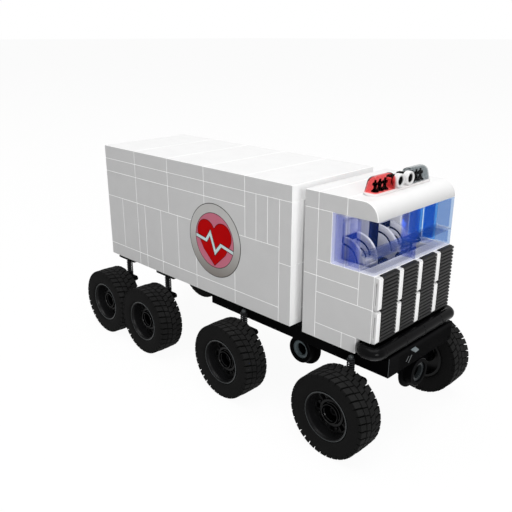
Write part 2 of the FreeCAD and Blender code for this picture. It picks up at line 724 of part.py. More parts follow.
def front_end():
    """Four modules across the cab front, each one fin wide and then one ribbed column."""
    modules = 4
    tiers = 2
    module = f"(body_width / {modules})"
    foot = f"({BASE} + wall)"
    columns = []
    fins = []
    for i in range(modules):
        y = f"(-{HALF} + {i} * {module})"
        columns.append(box(f"column_{i}", (CAB_FRONT, f"{CAB_FRONT} + grille_depth"),
                           (f"{y} + fin_width", f"{y} + {module}"), (foot, SILL)))
        for tier in range(tiers):
            fins.append(grille_fin(f"fin_{i}_{tier}", y, f"({foot} + {tier} * fin_height)"))
    group("grille_columns", columns)
    group("grille_fins", fins)

    end = f"({HALF} + bumper_proud)"
    beam_end = f"({end} - bumper_height)"
    root_x = f"({CAB_FRONT} - wall / 2)"
    keep(box("bumper_beam", (f"{CAB_FRONT} - wall", CAB_FRONT), (f"-{beam_end}", beam_end),
             (BASE, f"{BASE} + wall")), "bumper_beam")
    radius = "bumper_diameter / 2"
    pieces = [rod("bumper_front", "y", radius, f"2 * {end}", BUMPER_X, f"-{end}", BUMPER_Z)]
    for side, sign, _ in SIDES:
        y = f"{sign} * {end}"
        low, high = y_span(sign, beam_end, end)
        pieces.append(ball(f"bumper_corner_{side}", radius, BUMPER_X, y, BUMPER_Z))
        pieces.append(ball(f"bumper_elbow_{side}", radius, root_x, y, BUMPER_Z))
        pieces.append(rod(f"bumper_arm_{side}", "x", radius, f"{BUMPER_X} - {root_x}", root_x, y, BUMPER_Z))
        pieces.append(rod(f"bumper_root_{side}", "y", radius, f"({high}) - ({low})", root_x, low, BUMPER_Z))
    keep(fuse("bumper_bar", pieces), "bumper_bar")


# ---------------------------------------------------------------- roof light bar
def cover_block(name, sign, shrink):
    """Block with a leaning outer end and rounded top, or the same shape one skin smaller."""
    body = new_body(name)
    sketch = sketch_on(body, name + "_outline", "YZ_Plane")
    foot = f"({TOP} + lightbar_base)"
    head = f"({foot} + cover_height - {shrink})"
    inner = f"{sign} * (cover_inner + {shrink})"
    outer = f"{sign} * (lightbar_length / 2 - lightbar_base - {shrink})"
    leaned = f"{sign} * (lightbar_length / 2 - lightbar_base - cover_slope - {shrink})"
    add_loop(sketch, [(inner, foot), (outer, foot), (leaned, head), (inner, head)])
    pad(body, sketch, f"cover_width - 2 * {shrink}", both_ways=True)
    fillet(body, f"cover_round - {shrink}", lambda edge, shape: (
        abs(edge.CenterOfMass.z - shape.BoundBox.ZMax) < TOUCH and abs(edge.CenterOfMass.x) > TOUCH))
    return place(body, x=LIGHT_X)


def roof_lights():
    ends = []
    reach = "(lightbar_length / 2 - lightbar_width / 2)"
    for side, sign, _ in SIDES:
        ends.append(rod(f"base_end_{side}", "z", "lightbar_width / 2", "lightbar_base",
                        LIGHT_X, f"{sign} * {reach}", TOP))
    slab = box("base_slab", (f"{LIGHT_X} - lightbar_width / 2", f"{LIGHT_X} + lightbar_width / 2"),
               (f"-{reach}", reach), (TOP, f"{TOP} + lightbar_base"))
    keep(fuse("light_bar_base", ends + [slab]), "light_bar_base")

    for label, sign in (("beacon_red", -1), ("beacon_clear", 1)):
        outer = cover_block(label + "_outer", sign, "0")
        inner = cover_block(label + "_inner", sign, "cover_skin")
        keep(cut(label, outer, inner), label)

    foot = f"({TOP} + lightbar_base)"
    pins = []
    pins_a_side = 3
    for side, sign, _ in SIDES:
        for i in range(pins_a_side):
            y = f"{sign} * (cover_inner + {i + 1} * beacon_pitch)"
            name = f"pin_{side}_{i}"
            stem = rod(name + "_stem", "z", "pin_radius", "plate", LIGHT_X, y, foot)
            head = ball(name + "_head", "pin_radius * 1.5", LIGHT_X, y, f"{foot} + plate")
            skirt = rod(name + "_skirt", "z", "pin_radius * 2", "pane", LIGHT_X, y, foot)
            pins.append(fuse(name, [stem, head, skirt]))
    group("beacon_pins", pins)

    lamps = []
    lenses = []
    for side, sign, _ in SIDES:
        y = f"{sign} * lamp_spread / 2"
        z = f"({foot} + lamp_diameter / 2)"
        back = f"({LIGHT_X} + lightbar_width / 2 - lamp_depth)"
        case = rod(f"lamp_case_{side}", "x", "lamp_diameter / 2", "lamp_depth", back, y, z)
        well = rod(f"lamp_well_{side}", "x", "lens_diameter / 2", "lamp_depth", f"{back} + pane", y, z)
        lamps.append(cut(f"lamp_{side}", case, well))
        lenses.append(rod(f"lens_{side}", "x", "lens_diameter / 2 - seat_play", "pane",
                          f"{back} + pane", y, z))
    group("roof_lamps", lamps)
    group("lamp_lenses", lenses)


# ---------------------------------------------------------------- build, check and write
def check_and_write():
    doc.recompute()
    for item in doc.Objects:
        if "Invalid" in item.State or "Error" in item.State:
            raise RuntimeError(f"{item.Label} did not build: {item.State}")
    os.makedirs("parts", exist_ok=True)
    for item in nodes:
        shape = item.Shape
        if shape.isNull() or not shape.isValid() or shape.Volume <= 0:
            raise RuntimeError(f"{item.Label} has no valid solid")
        shape.exportStep(os.path.join("parts", item.Label + ".step"))
        print(f"{item.Label:22s} {len(shape.Solids)} solids  {shape.Volume:10.1f} mm3")


chassis_frame()
rear_axle_plates()
couplings()
wheels()
load_box()
rear_doors()
cab_shell()
glass()
cab_inside()
front_end()
roof_lights()
check_and_write()
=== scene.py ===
from itertools import pairwise
from math import cos, pi, radians, sin

import bpy
from mathutils import Matrix, Vector


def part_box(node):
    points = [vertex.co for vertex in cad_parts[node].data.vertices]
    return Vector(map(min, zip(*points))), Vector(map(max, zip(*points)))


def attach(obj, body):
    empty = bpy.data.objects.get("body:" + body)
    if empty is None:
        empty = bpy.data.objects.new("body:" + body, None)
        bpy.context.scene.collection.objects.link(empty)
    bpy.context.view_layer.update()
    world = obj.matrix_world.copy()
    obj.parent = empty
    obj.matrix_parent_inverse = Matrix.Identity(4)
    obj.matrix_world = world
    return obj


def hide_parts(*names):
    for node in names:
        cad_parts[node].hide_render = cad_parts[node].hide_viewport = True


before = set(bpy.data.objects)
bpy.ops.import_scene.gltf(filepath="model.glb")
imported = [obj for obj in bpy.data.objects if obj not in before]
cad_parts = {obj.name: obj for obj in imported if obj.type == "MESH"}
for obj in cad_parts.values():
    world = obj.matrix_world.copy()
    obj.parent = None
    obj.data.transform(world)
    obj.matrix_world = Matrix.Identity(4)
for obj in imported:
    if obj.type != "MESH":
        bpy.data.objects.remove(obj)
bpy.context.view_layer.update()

# All sizes are in mm, and become metres where they reach a mesh.
MM = 0.001
TINY = 0.01 * MM           # nearer than this counts as touching
STUD = 8.0
# the edge slot glows faintly: a painted highlight on softened edges and on some flat faces
FLAT, EDGE = 0, 1          # material slots of a brick: its faces and its softened edges
BASE, TOP = 48.2, 120.2    # underside and top of the bodywork
SILL, HEAD = 88.2, 112.2   # the cab's windows
DECK = 80.2                # the deck that the seats stand on
BOX_FRONT, BOX_BACK = 55.6, -104.4
CAB_BACK, CAB_FRONT = 63.6, 103.6
HALF, INNER = 32.0, 24.0   # the side walls' outer and inner faces
AXLE_Z = 20.7
AXLES = ((1, 92.6), (2, 20.6), (3, -50.8), (4, -92.6))
SIDES = (("right", -1), ("left", 1))
FORWARD, UP = Vector((1, 0, 0)), Vector((0, 0, 1))


# -------- modelling helpers
def edit():
    bpy.ops.object.mode_set(mode="EDIT")


def leave():
    bpy.ops.object.mode_set(mode="OBJECT")


def clear():
    if bpy.context.object and bpy.context.object.mode != "OBJECT":
        leave()
    bpy.ops.object.select_all(action="DESELECT")


def pick(*objects):
    clear()
    for item in objects:
        item.select_set(True)
    bpy.context.view_layer.objects.active = objects[0]


def settle(piece):
    """Puts the place, turn and size of an object into its mesh."""
    pick(piece)
    bpy.ops.object.transform_apply(location=True, rotation=True, scale=True)
    return piece


def apply_all(piece):
    pick(piece)
    for modifier in list(piece.modifiers):
        bpy.ops.object.modifier_apply(modifier=modifier.name)
    return piece


def round_edges(piece, width, segments=1, slot=-1):
    """Rounds the sharp edges. slot is the material slot of the new faces, or -1 for their neighbours'."""
    edge = piece.modifiers.new("edges", "BEVEL")
    edge.width = width * MM
    edge.segments = segments
    edge.limit_method = "ANGLE"
    edge.angle_limit = radians(30)
    edge.harden_normals = slot < 0
    edge.material = slot
    return apply_all(piece)


def soften(piece, width, segments):
    """Rounds the sharp edges and shades the piece smooth."""
    pick(piece)
    bpy.ops.object.shade_smooth()
    return round_edges(piece, width, segments)


def smooth(piece, angle=35):
    pick(piece)
    bpy.ops.object.shade_smooth_by_angle(angle=radians(angle))
    return piece


def close_up(piece):
    """Merges doubled points and turns every face outwards."""
    pick(piece)
    edit()
    select_everything()
    bpy.ops.mesh.remove_doubles(threshold=1e-6)
    bpy.ops.mesh.normals_make_consistent(inside=False)
    leave()
    return piece


def choose(piece, mode, test):
    """Opens a piece for editing with only the faces or edges that pass the test selected."""
    pick(piece)
    edit()
    bpy.ops.mesh.select_mode(type=mode)
    bpy.ops.mesh.select_all(action="DESELECT")
    leave()
    mesh = piece.data
    if mode == "FACE":
        for face in mesh.polygons:
            face.select = test(face)
    else:
        for edge in mesh.edges:
            edge.select = test(*[mesh.vertices[i].co for i in edge.vertices])
    edit()


def select_everything():
    bpy.ops.mesh.select_all(action="SELECT")


def slide(step):
    """Moves what is selected, in metres."""
    bpy.ops.transform.translate(value=step)


def extrude(step):
    """Extrudes what is selected, in metres."""
    bpy.ops.mesh.extrude_region_move(TRANSFORM_OT_translate={"value": step})


def bevel(piece, width, segments, test):
    """Rounds the edges that pass the test."""
    choose(piece, "EDGE", test)
    bpy.ops.mesh.bevel(offset=width * MM, segments=segments, affect="EDGES")
    leave()


def sink(piece, way, border, depth):
    """Pushes in the middle of each face that looks one way, and leaves a border round it."""
    way = Vector(way)
    choose(piece, "FACE", lambda face: face.normal.dot(way) > 0.9)
    bpy.ops.mesh.inset(thickness=border * MM, use_individual=True)
    extrude(-way * depth * MM)
    leave()
    return piece


def block(low, high, soft, segments=2):
    """Box between two corners, with rounded edges, or sharp ones where soft is 0."""
    low, high = Vector(low), Vector(high)
    clear()
    bpy.ops.mesh.primitive_cube_add(size=1, location=(low + high) / 2 * MM, scale=(high - low) * MM)
    piece = settle(bpy.context.object)
    return soften(piece, soft, segments) if soft else piece


def on_side(sign, low, high):
    """Corners of a box, given on the left side, taken to the side of the sign."""
    y_low, y_high = sorted((sign * low[1], sign * high[1]))
    return (low[0], y_low, low[2]), (high[0], y_high, high[2])


def spun(degrees, axis="Z"):
    return Matrix.Rotation(radians(degrees), 3, axis)


def to_side(sign):
    """The turn that takes a pattern made for the right side to the side of the sign."""
    return spun(0 if sign < 0 else 180)


# turns from Z to the axis of a lathe piece
LATHE_TURNS = {"Z": (0, 0, 0), "X": (0, pi / 2, 0), "-X": (0, -pi / 2, 0),
               "Y": (-pi / 2, 0, 0), "-Y": (pi / 2, 0, 0)}


def turned(section, centre=(0, 0, 0), axis="Z", steps=48, angle=35):
    """Lathe work: section is a list of (radius, along), taken round the axis.

    A section that starts on the axis ends on it too. Any other is closed into a ring.
    """
    clear()
    bpy.ops.mesh.primitive_plane_add(size=MM)
    piece = bpy.context.object
    edit()
    bpy.ops.mesh.select_mode(type="VERT")
    select_everything()
    bpy.ops.mesh.merge(type="CENTER")
    points = [Vector((radius, 0, along)) * MM for radius, along in section]
    slide(points[0])
    for last, point in pairwise(points):
        extrude(point - last)
    if section[0][0]:
        leave()
        piece.data.vertices[0].select = True
        edit()
        bpy.ops.mesh.edge_face_add()
    select_everything()
    bpy.ops.mesh.spin(steps=steps, angle=2 * pi, center=(0, 0, 0), axis=(0, 0, 1))
    close_up(piece)
    piece.rotation_euler = LATHE_TURNS[axis]
    piece.location = Vector(centre) * MM
    return smooth(settle(piece), angle)


def washer(inner, outer, height, centre=(0, 0, 0), axis="Z", steps=16):
    return turned([(inner, 0), (outer, 0), (outer, height), (inner, height)], centre, axis, steps)


def arc(centre, radius, start, end, steps):
    """Points on an arc, angles in degrees."""
    turns = [radians(start + (end - start) * i / steps) for i in range(steps + 1)]
    return [(centre[0] + radius * cos(turn), centre[1] + radius * sin(turn)) for turn in turns]


def circle(centre, radius, steps):
    return arc(centre, radius, 0, 360, steps)[:-1]


def drawn(shape, runs, closed):
    """Mesh of a curve that goes through runs of points, in metres."""
    for run in runs:
        spline = shape.splines.new("POLY")
        spline.points.add(len(run) - 1)
        for place, point in zip(spline.points, run):
            place.co = (*point, 1)
        spline.use_cyclic_u = closed
    piece = bpy.data.objects.new(shape.name, shape)
    bpy.context.scene.collection.objects.link(piece)
    pick(piece)
    bpy.ops.object.convert(target="MESH")
    return bpy.context.object


PLANES = {
    "side": Matrix(((1, 0, 0), (0, 0, -1), (0, 1, 0))),      # outline in X, Z; thickness towards -Y
    "front": Matrix(((0, 0, 1), (1, 0, 0), (0, 1, 0))),      # outline in Y, Z; thickness towards +X
    "flat": Matrix.Identity(3),                              # outline in X, Y; thickness upwards
}


def plate(outlines, thick, plane, place, soft=0.0):
    """Flat plate cut to its outlines. place is the height of its middle along the plane's normal."""
    shape = bpy.data.curves.new("plate", "CURVE")
    shape.dimensions = "2D"
    shape.fill_mode = "BOTH"
    shape.extrude = (thick / 2 - soft) * MM
    shape.bevel_depth = soft * MM
    shape.offset = -soft * MM
    shape.bevel_resolution = 1
    piece = drawn(shape, [[(u * MM, v * MM, 0) for u, v in outline] for outline in outlines], True)
    turn = PLANES[plane]
    piece.matrix_world = Matrix.Translation(turn @ Vector((0, 0, place * MM))) @ turn.to_4x4()
    return smooth(close_up(settle(piece)))


def tube_along(points, radius, sides):
    """Round bar that follows a line of points with rounded corners already in it."""
    shape = bpy.data.curves.new("bar", "CURVE")
    shape.dimensions = "3D"
    shape.bevel_depth = radius * MM
    shape.bevel_resolution = sides // 4
    shape.use_fill_caps = True
    piece = drawn(shape, [[Vector(point) * MM for point in points]], False)
    return smooth(close_up(piece), 50)


def copy_of(piece, move=(0, 0, 0), turn=Matrix.Identity(3)):
    """A copy with its own mesh, turned about the origin and then moved."""
    twin = piece.copy()
    twin.data = piece.data.copy()
    bpy.context.scene.collection.objects.link(twin)
    twin.matrix_world = Matrix.Translation(Vector(move) * MM) @ turn.to_4x4()
    return settle(twin)


def remove(*pieces):
    for piece in pieces:
        bpy.data.objects.remove(piece)


def spread(pattern, places):
    """Copies of a pattern at each of the places; the pattern itself is used up."""
    copies = [copy_of(pattern, place) for place in places]
    remove(pattern)
    return copies


def listed(parts):
    return parts if isinstance(parts, list) else [parts]


def join(name, parts):
    parts = listed(parts)
    pick(*parts)
    if len(parts) > 1:
        bpy.ops.object.join()
    piece = bpy.context.object
    piece.name = piece.data.name = name
    return piece


def paint(parts, *materials):
    """Gives one piece, or each of a list, its materials."""
    for piece in listed(parts):
        piece.data.materials.clear()
        for material in materials:
            piece.data.materials.append(material)
    return parts


def fit(name, parts, slot, *nodes, body="vehicle"):
    """Joins the parts, names the piece, and hangs it on its body in place of its nodes."""
    piece = join(name, parts)
    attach(piece, body)
    if nodes:
        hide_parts(*nodes)


# -------- finishes
def shade(*screen):
    """Screen colour 0 to 255 as a linear colour."""
    parts = [value / 255 for value in screen]
    return (*[part / 12.92 if part <= 0.04045 else ((part + 0.055) / 1.055) ** 2.4 for part in parts], 1)


def feed(tree, node, inputs):
    """Gives each input, by name or number, a value or a link from another node's socket."""
    for name, value in inputs.items():
        if isinstance(value, bpy.types.NodeSocket):
            tree.links.new(value, node.inputs[name])
        else:
            node.inputs[name].default_value = value
    return node


def add_node(tree, kind, inputs):
    return feed(tree, tree.nodes.new("ShaderNode" + kind), inputs)


def finish(name, colour, rough=0.35, vary=0.04, bump=0.15, gloss=0.4, grain=700, fade=None, more=()):
    """Moulded plastic or rubber: faint colour drift, fine grain in its bump and roughness.

    fade is (height of the second colour, height where it has gone, second colour).
    more holds further values for the shader.
    """
    material = bpy.data.materials.new(name)
    material.use_nodes = True
    tree = material.node_tree
    place = tree.nodes.new("ShaderNodeTexCoord").outputs["Object"]
    drift = add_node(tree, "TexNoise", {"Scale": 90, "Detail": 3, "Vector": place})
    tone = add_node(tree, "ValToRGB", {"Fac": drift.outputs["Fac"]})
    for stop, position, share in zip(tone.color_ramp.elements, (0.35, 0.65), (1 - vary, 1 + vary)):
        stop.position = position
        stop.color = (*[min(1, part * share) for part in colour[:3]], 1)
    hue = tone.outputs["Color"]
    if fade:
        low, high, second = fade
        height = add_node(tree, "SeparateXYZ", {"Vector": place})
        rise = add_node(tree, "MapRange", {"From Min": low * MM, "From Max": high * MM,
                                           "Value": height.outputs["Z"]})
        blend = tree.nodes.new("ShaderNodeMix")
        blend.data_type = "RGBA"
        feed(tree, blend, {"Factor": rise.outputs["Result"], "A": second, "B": hue})
        hue = blend.outputs["Result"]
    speck = add_node(tree, "TexNoise", {"Scale": grain, "Detail": 4, "Vector": place}).outputs["Fac"]
    polish = add_node(tree, "MapRange", {"To Min": max(0.02, rough - 0.06), "To Max": min(1, rough + 0.06),
                                         "Value": speck})
    relief = add_node(tree, "Bump", {"Strength": bump, "Distance": 0.0001, "Height": speck})
    feed(tree, tree.nodes["Principled BSDF"], {
        "Base Color": hue, "Roughness": polish.outputs["Result"], "Normal": relief.outputs["Normal"],
        "Specular IOR Level": gloss, **dict(more)})
    return material


def tinted(name, colour, alpha):
    """Clear coloured plastic, thin enough to be blended layer by layer."""
    return finish(name, colour, 0.08, 0.05, 0.03, 0.5, grain=300, more={"Alpha": alpha})


def dyed(name, colour, bend=1.3):
    """Clear plastic dyed right through: what lies behind takes its colour at each face."""
    return finish(name, colour, 0.05, 0.04, 0.02, 0.4, grain=300,
                  more={"Transmission Weight": 1.0, "IOR": bend})


def printed(name, colour, vary=0.03, fade=None):
    return finish(name, colour, 0.5, vary, 0.05, 0.05, fade=fade)


# name, colour, roughness, colour drift, bump, gloss
WHITE = finish("white plastic", shade(232, 232, 232), 0.42, 0.012, 0.06, 0.15)
# painted highlight: the softened edges glow faintly, standing in for the light they catch
WHITE_EDGE_GLOW = finish("white plastic edge with painted highlight glow", shade(252, 252, 252), 0.3, 0.01, 0.04, 0.15,
                    more={"Emission Color": (1, 1, 1, 1), "Emission Strength": 0.16})
BLACK = finish("black plastic", shade(9, 9, 10), 0.5, 0.15, 0.1, 0.01)
# painted sheen on the black bricks' edges; the stub axles and the plate rings wear it as their own dark grey
DARK_GREY_AND_EDGE_SHEEN = finish("dark grey plastic and painted edge sheen", shade(20, 20, 22), 0.34, 0.1, 0.1, 0.06)
# painted reflection: the bar's lower half turns lighter grey, standing in for the bright floor it mirrors
BAR_BLACK = finish("glossy black bar with painted reflection below", shade(6, 6, 7), 0.24, 0.15, 0.02, 0.06,
                   fade=(49.8, 52.2, shade(84, 84, 85)))
BAR_BASE = finish("light bar base plastic", shade(236, 232, 232), 0.4, 0.02, 0.06)
GRILLE = finish("black grille plastic", shade(44, 44, 44), 0.45, 0.12, gloss=0.16)
# painted highlights: pale dashes on the front socket housing
PALE_GLINT = finish("pale painted glint plastic", shade(84, 87, 89), vary=0.08, bump=0.1)
RIM_BLACK = finish("satin black rim", shade(20, 20, 21), 0.3, 0.15, 0.1, 0.12)
HUB_GLOSS = finish("polished black hub", shade(4, 4, 5), 0.12, 0.15, 0.02, 0.14)
# the spring's own dark colour, lifted above the black of the strut as a painted sheen so its turns show
COIL_DARK_SHEEN = finish("dark spring with painted sheen", shade(40, 41, 43), 0.4, 0.1, 0.1, 0.1)
RUBBER = finish("tyre rubber", shade(22, 22, 22), 0.8, 0.12, 0.35, 0.06, grain=1400)
TREAD = finish("worn tread rubber", shade(31, 31, 31), 0.8, 0.2, 0.45, 0.06, grain=1400)
GREY = finish("grey plastic", shade(104, 116, 120), vary=0.06, bump=0.1)
# also painted highlights: the ring on the rim's lip and the strip down the frame's front corner
GREY_DARK = finish("dark grey plastic and painted highlights", shade(58, 62, 64), vary=0.08, bump=0.1)
# painted shade: a darker copy of the grey, for the front socket ring
RING_PAINTED_SHADE = finish("grey plastic with painted shade", shade(44, 48, 50), vary=0.08, bump=0.1, gloss=0.15)
SEAT = finish("pale seat plastic", shade(208, 208, 213), 0.4, 0.02, 0.08, 0.15)
PRINT_DARK = printed("dark print", shade(24, 18, 20), 0.1)
PRINT_RING = printed("grey print", shade(219, 218, 216), fade=(60, 84, shade(152, 146, 140)))
PRINT_PINK = printed("pink print", shade(222, 128, 150))
PRINT_RED = printed("red print", shade(205, 0, 4), 0.05)
PRINT_DARK_RED = printed("dark red print", shade(96, 8, 14), 0.05)
PRINT_LINE = printed("pale print", shade(230, 250, 250))
BLUE_GLASS = tinted("blue clear plastic", (0.0, 0.10, 0.80, 1), 0.06)
CLEAR_PANE = tinted("pale clear plastic", (0.0, 0.07, 0.5, 1), 0.07)
SIDE_GLASS = tinted("blue clear side plastic", (0.0, 0.09, 1.0, 1), 0.24)
WEB_GLASS = tinted("thick blue clear plastic", (0.05, 0.16, 0.9, 1), 0.2)
LEDGE_GLASS = tinted("ledge blue clear plastic", (0.0, 0.06, 0.42, 1), 0.28)
# painted shade: the windscreen's far end wall and the far (left) side's windows are dyed a deeper blue than
# the near side's
END_GLASS = dyed("end wall blue clear plastic", (0.20, 0.33, 0.60, 1))
DEEP_GLASS = dyed("deep blue clear plastic", (0.006, 0.088, 0.50, 1))
RED_GLASS = dyed("red clear plastic", (0.90, 0.32, 0.32, 1), 1.07)
SMOKE_GLASS = dyed("smoke clear plastic", (0.45, 0.48, 0.49, 1), 1.07)


# -------- bricks
def brick_pattern():
    """One brick, a stud each way; its edges are chamfered and keep a slot of their own, which glows faintly
    as a painted highlight.
    """
    pattern = paint(block((-4, -4, -4), (4, 4, 4), 0), WHITE, WHITE_EDGE_GLOW)
    bevel(pattern, 0.14, 1, lambda a, b: True)
    for face in pattern.data.polygons:
        face.material_index = FLAT if max(abs(part) for part in face.normal) > 0.99 else EDGE
    return pattern


BRICK = brick_pattern()
# its edges take the lighter dark grey, a painted edge sheen
BLACK_BRICK = paint(copy_of(BRICK), BLACK, DARK_GREY_AND_EDGE_SHEEN)


def brick(low, high, pattern=BRICK):
    """A copy of the pattern brick stretched to a box, its edges kept as they are."""
    twin = copy_of(pattern)
    for vertex in twin.data.vertices:
        for axis in range(3):
            grow = (high[axis] - low[axis] - STUD) / 2 * MM
            vertex.co[axis] += (low[axis] + high[axis]) / 2 * MM + (grow if vertex.co[axis] > 0 else -grow)
    return twin


def black_brick(low, high):
    return brick(low, high, BLACK_BRICK)


def course(number):
    """Height of the joint above a number of brick courses."""
    return BASE + number * STUD


def side_bricks(layout, front, sign):
    """Bricks one stud thick along a side wall. layout is in studs, X back from the front and Z up."""
    return [brick(*on_side(sign, (front + x_low * STUD, INNER, course(z_low)),
                           (front + x_high * STUD, HALF, course(z_high))))
            for x_low, x_high, z_low, z_high in layout]


def painted_glow_faces(parts, way, place):
    """Gives the faces that look one way at one place the softened edges' faint glow: a painted highlight that
    lifts them, also where they stand in shade.
    """
    for part in parts:
        for face in part.data.polygons:
            if face.normal.dot(way) > 0.9 and abs(face.center.dot(way) - place * MM) < 0.3 * MM:
                face.material_index = EDGE
    return parts


def studs(places, top, height=1.7):
    """Round studs standing on a face at height top; places are X, Y."""
    root = 0.2             # set this far into the brick below
    clear()
    bpy.ops.mesh.primitive_cylinder_add(vertices=16, radius=2.4 * MM, depth=(height + root) * MM,
                                        location=(0, 0, (height - root) / 2 * MM))
    stud = paint(settle(bpy.context.object), WHITE, WHITE_EDGE_GLOW)
    bevel(stud, 0.2, 1, lambda a, b: min(a.z, b.z) > height * 0.9 * MM)
    return spread(smooth(stud), [(x, y, top) for x, y in places])


def grid(x_low, x_high, y_low, y_high):
    """Middles of a field of studs."""
    return [(x_low + (i + 0.5) * STUD, y_low + (j + 0.5) * STUD)
            for i in range(round((x_high - x_low) / STUD)) for j in range(round((y_high - y_low) / STUD))]


def hollow(piece, wall=1.5, depth=6.4):
    """Cuts the underside of a brick out, as in a moulded one."""
    return sink(piece, -UP, wall, depth)


# -------- load box
# Bricks of a side wall, in studs: X from and to, back from the front, and Z from and to.
BOX_SIDE = [
    *[(x, x + 4, 7, 8) for x in (-20, -16, -12, -8)],
    *[(x, x + 4, 5, 7) for x in (-20, -16, -12, -8)],
    *[(x, x + 1, 5, 8) for x in (-4, -3, -2)], (-1, 0, 4, 8), (-1, 0, 0, 4),
    *[(*x, 1, 5) for x in pairwise((-20, -18, -16, -15, -13, -11, -9, -5, -1))],
]
ROOF_SEAMS = (-20, -16, -12, -8, -4, 0)
FLOOR_SEAMS = (-20, -16, -15, -13, -9, -5, -1)


def stations(seams):
    """X of the back and the front of each brick in a row."""
    return pairwise(BOX_FRONT + seam * STUD for seam in seams)


def load_box():
    for side, sign in SIDES:
        # painted light: the walls' front faces, shaded by the cab, glow like the edges
        wall = painted_glow_faces(side_bricks(BOX_SIDE, BOX_FRONT, sign), FORWARD, BOX_FRONT)
        fit(f"box_wall_{side}", wall, "white_plastic", f"box_side_{side}")
    roof = [brick((back, -HALF, HEAD), (front, HALF, TOP)) for back, front in stations(ROOF_SEAMS)]
    # painted light: the roof's front faces glow like the edges
    fit("box_top", painted_glow_faces(roof, FORWARD, BOX_FRONT), "white_plastic", "box_roof")

    floor = []
    half = STUD / 2
    for back, front in stations(FLOOR_SEAMS):
        floor.append(hollow(brick((back, -HALF, BASE), (front, HALF, course(1)))))
        inner = grid(back + half, front - half, half - HALF, HALF - half)
        if inner:
            tube = paint(washer(2.4, 3.25, 6.5, steps=12), WHITE, WHITE_EDGE_GLOW)
            floor += spread(tube, [(x, y, BASE + 0.1) for x, y in inner])
    floor.append(brick((BOX_FRONT - STUD, -INNER, BASE), (BOX_FRONT, INNER, course(1))))
    floor += studs(grid(BOX_BACK + STUD, BOX_FRONT - STUD, -INNER, INNER), course(1))
    fit("box_base", floor, "white_plastic", "box_floor")

    wall = [brick((BOX_FRONT - STUD, y_low, course(z_low)), (BOX_FRONT, y_high, course(z_high)))
            for y_low, y_high in ((-INNER, -STUD), (-STUD, STUD), (STUD, INNER))
            for z_low, z_high in ((1, 4), (4, 8))]
    fit("box_bulkhead", wall, "white_plastic", "box_front_wall")


load_box()


# -------- wheels
LUGS = 36                  # tread blocks in a row


def lug(across, radius, lean, place, half_turn):
    """One tread block between two places across the tyre and two radii, its inner end shifted by lean."""
    soft = 0.18
    wide = radius[1] * radians(half_turn)
    piece = block((-wide, across[0], radius[0]), (wide, across[1], radius[1]), 0)
    choose(piece, "FACE", lambda face: face.normal.y > 0.9)
    slide((lean * MM, 0, 0))
    leave()
    paint(piece, RUBBER, TREAD)
    choose(piece, "FACE", lambda face: face.normal.z > 0.9)
    bpy.ops.mesh.inset(thickness=soft * MM)
    slide((0, 0, soft * 0.7 * MM))
    leave()
    for face in piece.data.polygons:
        face.material_index = 1 if face.normal.z > 0.95 else 0
    piece.rotation_euler = (0, radians(place), 0)
    return settle(piece)


def tyre():
    """Carcass with a tread of four rows of blocks; the outer side faces -Y."""
    half = [(12.05, 6.2), (12.5, 6.7), (13.0, 7.2), (13.8, 7.45), (14.8, 7.5), (18.2, 7.5), (18.8, 7.42),
            (19.05, 7.1), (19.4, 4)]
    carcass = turned([(radius, -along) for radius, along in half] + [(19.5, 0)] + half[::-1],
                     axis="-Y", steps=72, angle=50)
    rows = [
        lug((-7.48, -3.45), (18.6, 20.55), 0.9, 0, 4.1),
        lug((-3.2, -0.18), (19.3, 20.7), 0.7, 3.2, 4.45),
        lug((0.18, 3.2), (19.3, 20.7), -0.7, -1.0, 4.45),
        lug((3.45, 7.48), (18.6, 20.55), -0.9, 4.0, 4.1),
    ]
    blocks = [copy_of(row, turn=spun(i * 360 / LUGS, "Y")) for row in rows for i in range(LUGS)]
    remove(*rows)
    return join("tyre_pattern", [paint(carcass, RUBBER, TREAD)] + blocks)


def rim():
    """Deep dish with eight windows, a bolt by each, and a stepped hub with a wide well."""
    barrel = turned([
        (12.0, -6.2), (12.25, -6.5), (12.25, -6.9), (11.9, -7.05), (11.5, -6.9), (11.35, -6.4), (11.1, -5.9),
        (10.9, -5.3), (10.8, 0.4), (10.8, 6.5), (12.0, 6.5),
    ], axis="Y", steps=64)
    middle = (0, 0)
    well = circle(middle, 4.4, 40)
    windows = [arc(middle, 9.75, turn - 8.5, turn + 8.5, 4) + arc(middle, 7.05, turn + 9, turn - 9, 4)
               for turn in range(0, 360, 45)]
    disc = plate([circle(middle, 10.95, 64), well] + windows, 1.8, "side", 0.7, soft=0.25)
    backing = plate([circle(middle, 10.9, 64), well], 0.5, "side", -0.4)
    ring = turned([(7.0, -1.6), (7.0, -2.1), (6.7, -2.4), (5.6, -2.4), (5.3, -1.6)], axis="Y")
    hub = turned([
        (2.5, 5.5), (2.5, 2.4), (4.0, 2.4), (4.0, -2.6), (4.25, -2.9), (4.25, -3.7), (4.45, -4.0),
        (4.75, -4.0), (4.95, -3.7), (4.95, -2.9), (5.25, -2.7), (5.35, -2.4), (5.35, 1.0), (5.0, 1.3),
        (5.0, 5.5),
    ], axis="Y")
    bolt = turned([(0, -1.5), (0.75, -1.5), (0.75, -2.3), (0.55, -2.5), (0.3, -2.5), (0.3, -2.2), (0, -2.2)],
                  axis="Y", steps=12)
    bolts = spread(bolt, [(u, 0, v) for u, v in arc(middle, 7.9, 22.5, 337.5, 7)])
    # painted highlight: a thin grey ring laid on the flange's lip
    lip_highlight = turned([(11.92, -7.0), (11.95, -7.12), (12.1, -7.16), (12.27, -7.05), (12.25, -6.95)],
                 axis="Y", steps=64)
    paint([barrel, disc, backing, ring] + bolts, RIM_BLACK)
    paint(hub, HUB_GLOSS)
    paint(lip_highlight, GREY_DARK)
    return join("rim_pattern", [barrel, disc, backing, ring, hub, lip_highlight] + bolts)


